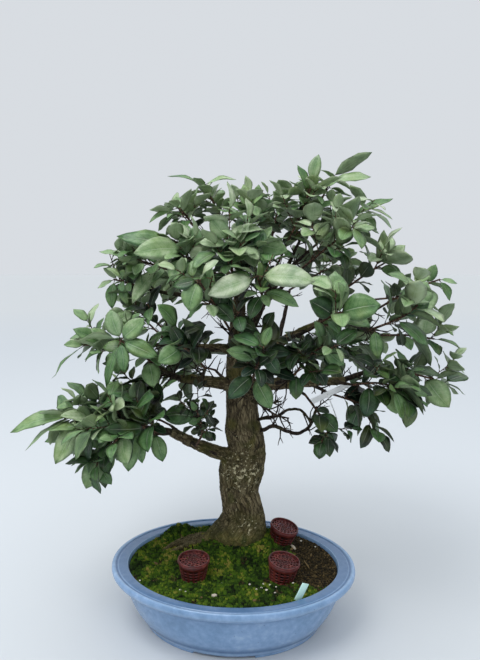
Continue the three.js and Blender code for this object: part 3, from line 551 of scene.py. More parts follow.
def small_shape(name, bm):
    """The bmesh as a mesh with a tone on each vertex."""
    mesh = bpy.data.meshes.new(name)
    bm.to_mesh(mesh)
    bm.free()
    mesh.attributes.new("tone", "FLOAT", "POINT")
    return mesh


def tuft_shape():
    """A moss cushion: half an icosahedron with raised points."""
    bm = bmesh.new()
    bmesh.ops.create_icosphere(bm, subdivisions=1, radius=1)
    bmesh.ops.bisect_plane(bm, geom=bm.verts[:] + bm.edges[:] + bm.faces[:], plane_co=(0, 0, -0.3),
                           plane_no=(0, 0, -1), clear_outer=True)
    bm.normal_update()
    tops = [face for face in bm.faces if face.normal.z > 0.3]
    raised = bmesh.ops.poke(bm, faces=tops, offset=0.75)["verts"]
    bmesh.ops.translate(bm, verts=raised, vec=(0, 0, 0.35))
    print("one tuft:", len(bm.faces), "faces")
    return small_shape("tuft", bm)


def grain_shape():
    """A grain: an icosahedron of 1 mm."""
    bm = bmesh.new()
    bmesh.ops.create_icosphere(bm, subdivisions=1, radius=1)
    return small_shape("grain", bm)


def in_pot(random, margin=0):
    """A seeded place on the ground, in the view."""
    while True:
        px, py = random.uniform(-POT_SPAN, POT_SPAN), random.uniform(-POT_SPAN, POT_SPAN)
        if math.hypot(px, py) < POT_SPAN - margin:
            return turned(px, py * narrowing(SOIL_TOP), -VIEW_TURN)


random = np.random.default_rng(41)
places = []
while len(places) < TUFTS:
    x, y = in_pot(random, 1.5)
    if moss_cover(x, y) < random.uniform(0.25, 0.85) or math.dist((x, y), TRUNK_AT) < TRUNK_CLEAR:
        continue
    if on_root(x, y):
        continue
    size = random.uniform(1.0, 2.7)
    tall = size * random.uniform(0.5, 1.25)
    dry = math.exp(-((x - DRY_AT[0]) / DRY_REACH[0]) ** 2 - ((y - DRY_AT[1]) / DRY_REACH[1]) ** 2)
    patch = 0.42 + 0.6 * rough(x, y, 22, 2.2) + 0.2 * rough(x, y, 6, 7.7) + 0.55 * dry
    turn = Matrix.Rotation(random.uniform(0, math.tau), 4, "Z")
    at = Matrix.Translation((x, y, ground(x, y) - 0.2 * tall))
    matrix = at @ turn @ Matrix.Diagonal((size, size, tall, 1))
    places.append((matrix, clamped(patch + random.uniform(-0.3, 0.3))))
finish_piece(scatter(tuft_shape(), places), "moss_tufts", SEEN_PLACE, [moss_look])

places = []
while len(places) < GRAINS:
    x, y = in_pot(random, 1)
    if moss_cover(x, y) > random.uniform(0.0, 0.9):
        continue
    size = random.uniform(0.8, 1.9)
    turn = Matrix.Rotation(random.uniform(0, math.tau), 4, Vector(random.uniform(-1, 1, 3)).normalized())
    shape = Matrix.Diagonal((size, size * random.uniform(0.6, 1), size * random.uniform(0.6, 1), 1))
    tone = 0.9 * random.uniform(0, 1) ** 1.2
    places.append((Matrix.Translation((x, y, ground(x, y) + 0.3 * size)) @ turn @ shape, tone))
for x, y in WHITE_GRAINS:
    size = random.uniform(1.1, 1.9)
    at = Matrix.Translation((x, y, ground(x, y) + WHITE_LIFT))
    places.append((at @ Matrix.Diagonal((size * 1.3, size, size * 0.8, 1)), 1))
finish_piece(scatter(grain_shape(), places), "soil_grains", SEEN_PLACE, [grit_look])

places = []
for (x, y), sizes, turn, tone in LITTER:
    at = Matrix.Translation((x, y, ground(x, y) + LITTER_LIFT)) @ Matrix.Rotation(math.radians(turn), 4, "Z")
    places.append((at @ Matrix.Rotation(LITTER_TILT, 4, "X") @ Matrix.Diagonal((*sizes, 1)), tone))
finish_piece(scatter(grain_shape(), places), "fallen_bits", SEEN_PLACE, [grit_look])

# %% [markdown]
# ## Lines that wood follows
#
# Wood grows in curves. The CAD gives a few points for each limb, and a smooth line is drawn through
# them. A tube is then one ring of edges that is extruded from point to point along the line, turned
# and scaled at each step.

# %% Tubes
def smooth_line(points, radii, pieces):
    """A smooth line through points, with the radius at each of its places."""
    ends = [2 * points[0] - points[1], *points, 2 * points[-1] - points[-2]]
    line, wide = [], []
    for k in range(1, len(ends) - 2):
        a, b, c, d = ends[k - 1:k + 3]
        for i in range(pieces):
            t = i / pieces
            line.append(0.5 * (2 * b + (c - a) * t + (2 * a - 5 * b + 4 * c - d) * t ** 2
                               + (3 * b - a - 3 * c + d) * t ** 3))
            wide.append(radii[k - 1] + (radii[k] - radii[k - 1]) * t)
    return line + [points[-1]], wide + [radii[-1]]


def tube(bm, line, radii, sides, level=False):
    """Extrudes a ring along a line. A level tube keeps its rings flat. Returns its vertices."""
    turn = Matrix.Identity(3)
    way = Vector((0, 0, 1))
    frames = []
    last = len(line) - 1
    for k, (point, radius) in enumerate(zip(line, radii)):
        ahead = (line[min(k + 1, last)] - line[max(k - 1, 0)]).normalized()
        if not level:
            turn = way.rotation_difference(ahead).to_matrix() @ turn
            way = ahead
        frames.append(Matrix.Translation(point) @ turn.to_4x4() @ Matrix.Scale(max(radius, 0.05), 4))
    ring = bmesh.ops.create_circle(bm, segments=sides, radius=1, matrix=frames[0])["verts"]
    edges = list({edge for vert in ring for edge in vert.link_edges})
    made = list(ring)
    first = list(edges)
    for now, ahead in zip(frames, frames[1:]):
        grown = bmesh.ops.extrude_edge_only(bm, edges=edges)["geom"]
        ring = [g for g in grown if isinstance(g, bmesh.types.BMVert)]
        edges = [g for g in grown if isinstance(g, bmesh.types.BMEdge)]
        bmesh.ops.transform(bm, matrix=ahead @ now.inverted(), verts=ring)
        made += ring
    bmesh.ops.edgeloop_fill(bm, edges=first)
    bmesh.ops.edgeloop_fill(bm, edges=edges)
    return made


def points_of(places):
    return [Vector(place) for place in places]


# %% [markdown]
# ## The trunk and its limbs
#
# An old thorny olive has one thick trunk with swellings where limbs were cut, and limbs that leave
# it almost level. The rings and points below are the same that the CAD has, in the view.
# The thick limbs are joined to the trunk with a voxel remesh, which melts the separate tubes into
# one skin as bark does. Thin limbs would lose their shape in it, so they stay plain tubes.

# %% Limbs
# Trunk rings from the sunk end up: height, middle x, middle y, half width.
TRUNK_RINGS = [
    (48, 8, 56, 44.5), (94, 8, 56, 44.5), (104, 9, 56, 44), (117, 15, 56, 36), (132, 16, 56, 32.5),
    (165, 10, 55, 29.5), (195, 13, 55, 35), (215, 16, 54, 35), (234, 22, 53, 29), (264, 17, 51, 29),
    (290, 15, 50, 24.5), (325, 13, 48, 23.5), (362, 8, 46, 18), (404, 7, 45, 14), (440, 9, 45, 11),
    (478, 11, 45, 8), (515, 12, 52, 5),
]
# Limbs: points from inside their parent outwards, the thickness at both ends, and the spray they carry.
LIMBS = [
    ([(0, 50, 220), (-49, 35, 244), (-92, 20, 270)], (24, 13), ""),
    ([(-90, 21, 269), (-122, 20, 278)], (11, 5), "left_low_tip"),
    ([(-88, 21, 268), (-130, 33, 264), (-159, 40, 258)], (8, 4), "left_low_under"),
    ([(-90, 21, 269), (-106, -10, 279)], (8, 4), "left_low_mid"),
    ([(-66, 30, 253), (-53, 10, 252)], (5, 4), "left_low_inner"),
    ([(-72, 28, 257), (-84, 62, 257), (-101, 90, 260)], (8, 4), "left_low_back"),
    ([(5, 48, 334), (-48, 30, 345), (-77, 20, 350)], (21, 12), ""),
    ([(-76, 20, 350), (-103, 0, 370)], (8, 4), "left_mid_front"),
    ([(-76, 20, 350), (-100, 30, 355)], (8, 4), "left_mid_under"),
    ([(-46, 31, 345), (-37, -20, 373)], (7, 4), "left_mid_inner"),
    ([(8, 44, 388), (-26, 30, 395), (-70, 30, 391)], (17, 9), ""),
    ([(-68, 30, 391), (-106, 30, 400), (-138, 40, 386)], (8, 4), "left_mid_tip"),
    ([(-68, 30, 391), (-99, 30, 421)], (7, 4), "left_mid_back"),
    ([(-24, 31, 395), (-60, 80, 386), (-103, 120, 385)], (8, 4), "left_back"),
    ([(8, 45, 430), (-40, 42, 470)], (13, 9), ""),
    ([(-38, 42, 468), (-92, 34, 474), (-120, 30, 479)], (8, 4), "left_upper"),
    ([(-38, 42, 468), (-92, 40, 508)], (8, 4), "upper_left_tip"),
    ([(-38, 42, 468), (-24, 0, 505)], (8, 4), "upper_left_mid"),
    ([(11, 46, 482), (-20, 55, 520), (-48, 60, 559)], (9, 4), "upper_left_top"),
    ([(12, 50, 505), (-11, 70, 560)], (6, 4), "top_left"),
    ([(12, 50, 508), (14, 60, 552)], (7, 4), "top_centre"),
    ([(9, 44, 436), (10, -10, 455), (5, -60, 483)], (9, 4), "top_centre_front"),
    ([(10, 42, 455), (18, -20, 481)], (8, 4), "crown_mid"),
    ([(7, 44, 398), (-2, -50, 430)], (9, 4), "centre_left_front"),
    ([(8, 44, 402), (28, -8, 425), (40, -60, 457)], (9, 4), "centre_front"),
    ([(9, 46, 440), (-31, 150, 457)], (9, 4), "back_left"),
    ([(9, 46, 452), (11, 160, 490)], (9, 4), "back_centre"),
    ([(11, 46, 470), (35, 80, 503), (59, 110, 539)], (9, 4), "back_top"),
    ([(8, 45, 400), (45, 48, 455)], (16, 11), ""),
    ([(44, 48, 454), (63, 50, 508)], (9, 4), "top_right_up"),
    ([(44, 48, 454), (80, 58, 510), (102, 70, 553)], (9, 4), "top_right_far"),
    ([(74, 56, 500), (114, 50, 537)], (7, 4), "top_right_low"),
    ([(44, 48, 454), (96, 10, 508)], (7, 4), "right_top_mid"),
    ([(12, 46, 358), (70, 42, 400), (130, 42, 430)], (18, 10), ""),
    ([(128, 42, 429), (144, 40, 464)], (7, 4), "right_upper"),
    ([(128, 42, 429), (175, 48, 430), (213, 50, 448)], (9, 4), "right_upper_tip"),
    ([(173, 48, 430), (224, 60, 409)], (7, 4), "right_mid_tip"),
    ([(173, 48, 430), (194, 0, 424)], (6, 4), "right_mid_front"),
    ([(70, 42, 400), (105, -40, 429)], (8, 4), "right_front"),
    ([(128, 42, 429), (170, 90, 450), (221, 120, 459)], (8, 4), "right_far_back"),
    ([(68, 42, 399), (82, 96, 440), (94, 150, 474)], (8, 4), "back_right"),
    ([(22, 46, 334), (99, 22, 344), (165, 20, 348)], (22, 11), ""),
    ([(163, 20, 348), (200, 40, 356), (238, 50, 357)], (9, 4), "right_low_tip"),
    ([(142, 20, 347), (170, -8, 347)], (6, 4), "right_low"),
    ([(110, 21, 345), (140, 26, 328)], (7, 4), "right_under"),
    ([(80, 28, 342), (104, 0, 331)], (6, 4), "right_hang"),
    ([(62, 34, 340), (80, -30, 359)], (7, 4), "right_inner"),
    ([(60, 35, 340), (110, 130, 359)], (8, 4), "back_low_right"),
    ([(15, 46, 330), (25, -40, 354)], (8, 4), "centre_low_front"),
    ([(13, 50, 318), (-30, 130, 342)], (9, 4), "back_low_left"),
    ([(18, 40, 316), (44, 22, 312), (72, 14, 318)], (6, 2), ""),
    ([(40, 25, 312), (62, 6, 300), (82, 2, 296)], (4, 2), ""),
    ([(-20, 40, 227), (-34, 22, 240)], (5, 3), ""),
]
# Roots that spread from the foot into the moss.
FLARES = [
    ([(-4, 50, 116), (-24, 45, 99), (-44, 42, 80)], (38, 26)),
    ([(22, 84, 110), (26, 94, 94), (30, 104, 76)], (34, 22)),
]
# Two thin bare limbs low in the crown, right of the trunk, that meet under the main limb.
INNER_LIMBS = [
    ([(35, 42, 265), (47, 38, 268), (62, 31, 276), (80, 26, 270), (97, 23, 267), (113, 22, 277),
      (119, 24, 289), (126, 30, 306)], (6.4, 4.6)),
    ([(32, 44, 280), (44, 38, 285), (56, 32, 289), (70, 26, 294), (82, 22, 303), (99, 18, 304),
      (112, 20, 290), (116, 21, 280)], (5, 3.4)),
]
THICK_LIMB = 12
ROOTS_BELOW = 120
STEM_SIDES, LIMB_SIDES, THIN_SIDES = 40, 16, 9
# The most that a limb wanders from its line.
WANDER = 1.6
VOXEL = 1.7
MELT_ROUNDS = 3

stem_points = [Vector((x, y, z)) for z, x, y, _ in TRUNK_RINGS]
stem_line, stem_radii = smooth_line(stem_points, [r for *_, r in TRUNK_RINGS], 5)
melted = bmesh.new()
tube(melted, stem_line, stem_radii, STEM_SIDES, level=True)
thin = bmesh.new()
thick_sticks = list(zip(stem_line, stem_line[1:]))
wood = [(places, thick) for places, thick, _ in LIMBS] + FLARES + BARE_ROOTS + INNER_LIMBS
for k, (places, thick) in enumerate(wood):
    points = points_of(places)
    radii = [(thick[0] + (thick[1] - thick[0]) * i / (len(points) - 1)) / 2 for i in range(len(points))]
    line, wide = smooth_line(points, radii, 6)
    for i in range(1, len(line) - 1):
        line[i] = line[i] + noise.noise_vector(Vector((i * 0.6, k * 3.7, 0.5))) * min(WANDER, 0.35 * wide[i])
    if thick[0] > THICK_LIMB or points[0].z < ROOTS_BELOW:
        tube(melted, line, wide, LIMB_SIDES)
        thick_sticks += list(zip(line, line[1:]))
    else:
        wide = [r * (1 + 0.16 * noise.noise(Vector((i * 0.9, k * 2.1, 7)))) for i, r in enumerate(wide)]
        tube(thin, line, wide, THIN_SIDES)
print(len(melted.faces), "faces to melt together,", len(thin.faces), "in thin limbs")

# %% [markdown]
# ## One skin of bark
#
# The remesh works on an object with a modifier, so the tubes become a mesh for a moment and the
# melted skin is read back. A little smoothing rounds the joints.
# Then the bark is cut into it. Old bark splits along the limb into long plates, so each vertex gets
# a place in bark measure: across the limb in real millimetres, and along it shortened. Noise at
# that place gives long fissures whichever way the limb runs. The same places drive the material.

# %% Bark relief
BARK_STRETCH = 4.5
FISSURE = 1.9
FINE_FISSURE = 0.55
KNOB = 1.32
GRIT = 0.5
# The swelling with its knots and lichen, and a second patch of lichen on the foot.
BURR_AT = Vector((14, 40, 205))
BURR_REACH = 34
LOW_LICHEN_AT = Vector((24, 12, 128))
LOW_LICHEN_REACH = 17
# Moss climbs the foot up to here and fades below. From the second height on it lies on the limbs.
FOOT_MOSS, FOOT_MOSS_FADE = 152, 46
LIMB_MOSS = 225
# The bare roots carry less moss from here to the left, and below this height the bark is buried.
ROOT_LEFT = -40
BURIED = 94


def melted_skin(bm, voxel):
    """One closed skin round all the tubes."""
    mesh = bpy.data.meshes.new("tubes")
    bm.to_mesh(mesh)
    bm.free()
    holder = bpy.data.objects.new("tubes", mesh)
    bpy.context.scene.collection.objects.link(holder)
    modifier = holder.modifiers.new("melt", "REMESH")
    modifier.mode = "VOXEL"
    modifier.voxel_size = voxel
    graph = bpy.context.evaluated_depsgraph_get()
    skin = bmesh.new()
    skin.from_mesh(bpy.data.meshes.new_from_object(holder.evaluated_get(graph)))
    bpy.data.objects.remove(holder)
    return skin


def bark_places(spots, sticks):
    """Each spot's place in bark measure: across its nearest stick, and along it shortened."""
    starts = np.array([a for a, _ in sticks])
    ways = np.array([b - a for a, b in sticks])
    lengths = np.linalg.norm(ways, axis=1)
    ways = ways / lengths[:, None]
    before = np.concatenate([[0], np.cumsum(lengths)[:-1]])
    made = np.zeros_like(spots)
    for i in range(0, len(spots), 4000):
        part = spots[i:i + 4000]
        away = part[:, None, :] - starts[None]
        along = np.clip((away * ways).sum(2), 0, lengths)
        near = np.argmin(np.linalg.norm(away - along[:, :, None] * ways, axis=2), axis=1)
        rows = np.arange(len(part))
        way = ways[near]
        step = (away[rows, near] * way).sum(1)
        across = away[rows, near] - step[:, None] * way
        shorter = ((before[near] + step) / BARK_STRETCH)[:, None] * way
        made[i:i + 4000] = across + shorter
    return made


def bark_depth(at):
    """How far the bark stands out at a place in bark measure, in millimetres."""
    bent = at + noise.noise_vector(at / 9) * 2.4
    ridge = abs(noise.noise(bent / 5.2))
    second = abs(noise.noise(bent / 2.6 + Vector((9, 4, 2))))
    crack = 1 - min(ridge / 0.13, 1)
    fine_crack = 1 - min(second / 0.16, 1)
    return (KNOB * noise.noise(at / 11) - FISSURE * crack ** 1.5 - FINE_FISSURE * fine_crack
            + GRIT * noise.noise(at / 1.8))


skin = melted_skin(melted, VOXEL)
for _ in range(MELT_ROUNDS):
    bmesh.ops.smooth_vert(skin, verts=skin.verts, factor=0.5, use_axis_x=True, use_axis_y=True,
                          use_axis_z=True)
skin.normal_update()
spots = np.array([vert.co for vert in skin.verts])
measured = bark_places(spots, thick_sticks)
bark_layer = skin.verts.layers.float_vector.new("bark")
moss_layer = skin.verts.layers.float.new("moss")
lichen_layer = skin.verts.layers.float.new("lichen")
normals = [vert.normal.copy() for vert in skin.verts]
for vert, normal, place in zip(skin.verts, normals, measured):
    at = Vector(place)
    spot = vert.co.copy()
    vert[bark_layer] = at
    burr = math.exp(-((spot - BURR_AT).length / BURR_REACH) ** 2)
    low_moss = clamped((FOOT_MOSS - spot.z + 26 * rough(spot.x, spot.z, 21, 3)) / FOOT_MOSS_FADE)
    low_moss *= 1 - 0.6 * clamped((ROOT_LEFT - spot.x) / 12) * (spot.z < ROOTS_BELOW)
    sunk = clamped((BURIED - spot.z) / 6)
    on_bare_root = spot.x < ROOT_LEFT - 5 and spot.z < ROOTS_BELOW
    patch = clamped(noise.noise(spot / 19) * 2.4 - 0.25) * (0.3 if on_bare_root else 0.8)
    above = 0.35 * max(normal.z, 0) if spot.z > LIMB_MOSS else 0
    vert[moss_layer] = max(low_moss * 0.85, patch, 0.55 * burr) + above
    low_lichen = math.exp(-((spot - LOW_LICHEN_AT).length / LOW_LICHEN_REACH) ** 2)
    vert[lichen_layer] = min(1, burr + low_lichen)
    knots = 1.6 * burr * noise.noise(spot / 6)
    vert.co = spot + normal * (bark_depth(at) * (1 - 0.35 * low_moss) * (1 - sunk) + knots)

# %% [markdown]
# ## Bark, lichen and the green film
#
# Thorny olive bark is grey brown and matt. Its fissures and the cracks between flakes are darkened
# nearly to black, partly for the darker inner bark and partly as painted shade. On the foot and on the
# swelling it carries a green and yellow film of algae and moss, and flecks of pale lichen.

# %% Bark material
# In bark measure, where a length along the limb is shortened: ridges, flakes, plates and their bends.
RIDGE = 4.2
FLAKE = 3.6
PLATE = 12
BEND = 7
# In real millimetres: patches of green film and flecks of lichen.
FILM = 26
FLECK = 5

# Dead cork with no shine: pale plates, fissures darkened partly as inner bark and partly as painted shade,
# and a film of green where it stays wet.
bark, tree, shader = new_material("old bark with algae and lichen, weathered", 0.92, specular=0.2)
at = node(tree, "Attribute", {"attribute_name": "bark"}, out="Vector")
place = node(tree, "TexCoord", out="Object")
coarse = node(tree, "TexNoise", {}, {"Vector": at, "Scale": 1 / RIDGE, "Detail": 6.0, "Roughness": 0.68})
broad = node(tree, "TexNoise", {}, {"Vector": place, "Scale": 1 / (FILM * MM), "Detail": 3.0})
wood = node(tree, "ValToRGB", {"stops": [
    (0.33, "#2b241a"), (0.45, "#574c38"), (0.56, "#7b6f54"), (0.68, "#9a8e6e")]},
            {0: coarse})
cells = node(tree, "TexVoronoi", {"feature": "DISTANCE_TO_EDGE"},
             {"Vector": at, "Scale": 1 / FLAKE, "Randomness": 1.0})
flake = node(tree, "ValToRGB", {"stops": [(0.0, "#000000"), (0.16, "#ffffff")]}, {0: cells})
# Painted shade, with some darker inner bark: the cracks between flakes are darkened.
painted_crack_shade = node(tree, "Math", {"operation": "SUBTRACT"}, {0: 1.0, 1: flake})
painted_crack_shade = node(tree, "Math", {"operation": "MULTIPLY"}, {0: painted_crack_shade, 1: 0.6})
wood = node(tree, "Mix", {"data_type": "RGBA"}, {0: painted_crack_shade, 6: wood, 7: "#1d1612"}, 2)
bend = node(tree, "TexNoise", {}, {"Vector": at, "Scale": 1 / BEND, "Detail": 3.0}, "Color")
bent = node(tree, "VectorMath", {"operation": "MULTIPLY_ADD"}, {0: bend, 1: (BEND, BEND, BEND), 2: at})
plates = node(tree, "TexVoronoi", {"feature": "DISTANCE_TO_EDGE"},
              {"Vector": bent, "Scale": 1 / PLATE, "Randomness": 1.0})
fissure = node(tree, "ValToRGB", {"stops": [(0.01, "#ffffff"), (0.055, "#000000")]}, {0: plates})
here = node(tree, "ValToRGB", {"stops": [(0.42, "#000000"), (0.52, "#ffffff")]}, {0: broad})
fissure = node(tree, "Math", {"operation": "MULTIPLY"}, {0: fissure, 1: here})
# Painted shade, with some darker inner bark: the fissures between plates are darkened nearly to black.
dark = node(tree, "Math", {"operation": "MULTIPLY"}, {0: fissure, 1: 0.85})
wood = node(tree, "Mix", {"data_type": "RGBA"}, {0: dark, 6: wood, 7: "#120d0a"}, 2)
film = node(tree, "ValToRGB", {"stops": [
    (0.35, "#262d12"), (0.5, "#45481c"), (0.62, "#655f2f"), (0.72, "#384818")]},
            {0: broad})
green = node(tree, "Attribute", {"attribute_name": "moss"}, out="Fac")
ragged = node(tree, "Math", {"operation": "ADD"}, {0: coarse, 1: 0.35})
ragged = node(tree, "Math", {"operation": "MULTIPLY", "use_clamp": True}, {0: green, 1: ragged})
ragged = node(tree, "Math", {"operation": "MULTIPLY", "use_clamp": True}, {0: ragged, 1: 0.9})
base = node(tree, "Mix", {"data_type": "RGBA"}, {0: ragged, 6: wood, 7: film}, 2)
fleck = node(tree, "TexNoise", {},
             {"Vector": place, "Scale": 1 / (FLECK * MM), "Detail": 3.0, "Roughness": 0.6})
lichen = node(tree, "Attribute", {"attribute_name": "lichen"}, out="Fac")
fleck = node(tree, "Math", {"operation": "MULTIPLY_ADD"}, {0: lichen, 1: 0.2, 2: fleck})
fleck = node(tree, "Math", {"operation": "SUBTRACT"}, {0: fleck, 1: 0.68})
fleck = node(tree, "Math", {"operation": "MULTIPLY", "use_clamp": True}, {0: fleck, 1: 14.0})
base = node(tree, "Mix", {"data_type": "RGBA"}, {0: fleck, 6: base, 7: "#bfb795"}, 2)
relief = node(tree, "Math", {"operation": "MULTIPLY_ADD"}, {0: flake, 1: 0.4, 2: coarse})
relief = node(tree, "Math", {"operation": "SUBTRACT"}, {0: relief, 1: fissure})
surface(tree, shader, base, relief, 0.8, 1.2)
finish_piece(skin, "trunk_bark", SEEN_PLACE, [bark], ["trunk"])

# The limbs inside the crown are young and get little light, so their bark is darkened with painted shade and
# is darker than the trunk.
thin_bark_with_painted_shade, tree, shader = new_material("young bark darkened with painted shade, weathered", 0.85, specular=0.2)
place = node(tree, "TexCoord", out="Object")
coarse = node(tree, "TexNoise", {},
              {"Vector": place, "Scale": 1 / (FLECK * MM), "Detail": 5.0, "Roughness": 0.65})
wood = node(tree, "ValToRGB", {"stops": [
    (0.35, "#120e0b"), (0.5, "#2a221c"), (0.66, "#564a3e")]}, {0: coarse})
green = node(tree, "Attribute", {"attribute_name": "moss"}, out="Fac")
green = node(tree, "Math", {"operation": "MULTIPLY", "use_clamp": True}, {0: green, 1: 0.7})
base = node(tree, "Mix", {"data_type": "RGBA"}, {0: green, 6: wood, 7: "#4a4d24"}, 2)
surface(tree, shader, base, coarse, 0.6, 0.8)

bmesh.ops.recalc_face_normals(thin, faces=thin.faces)
moss_layer = thin.verts.layers.float.new("moss")
for vert in thin.verts:
    vert[moss_layer] = clamped(noise.noise(vert.co / 24) * 1.6) * 0.6
finish_piece(thin, "thin_limbs", SEEN_PLACE, [thin_bark_with_painted_shade])
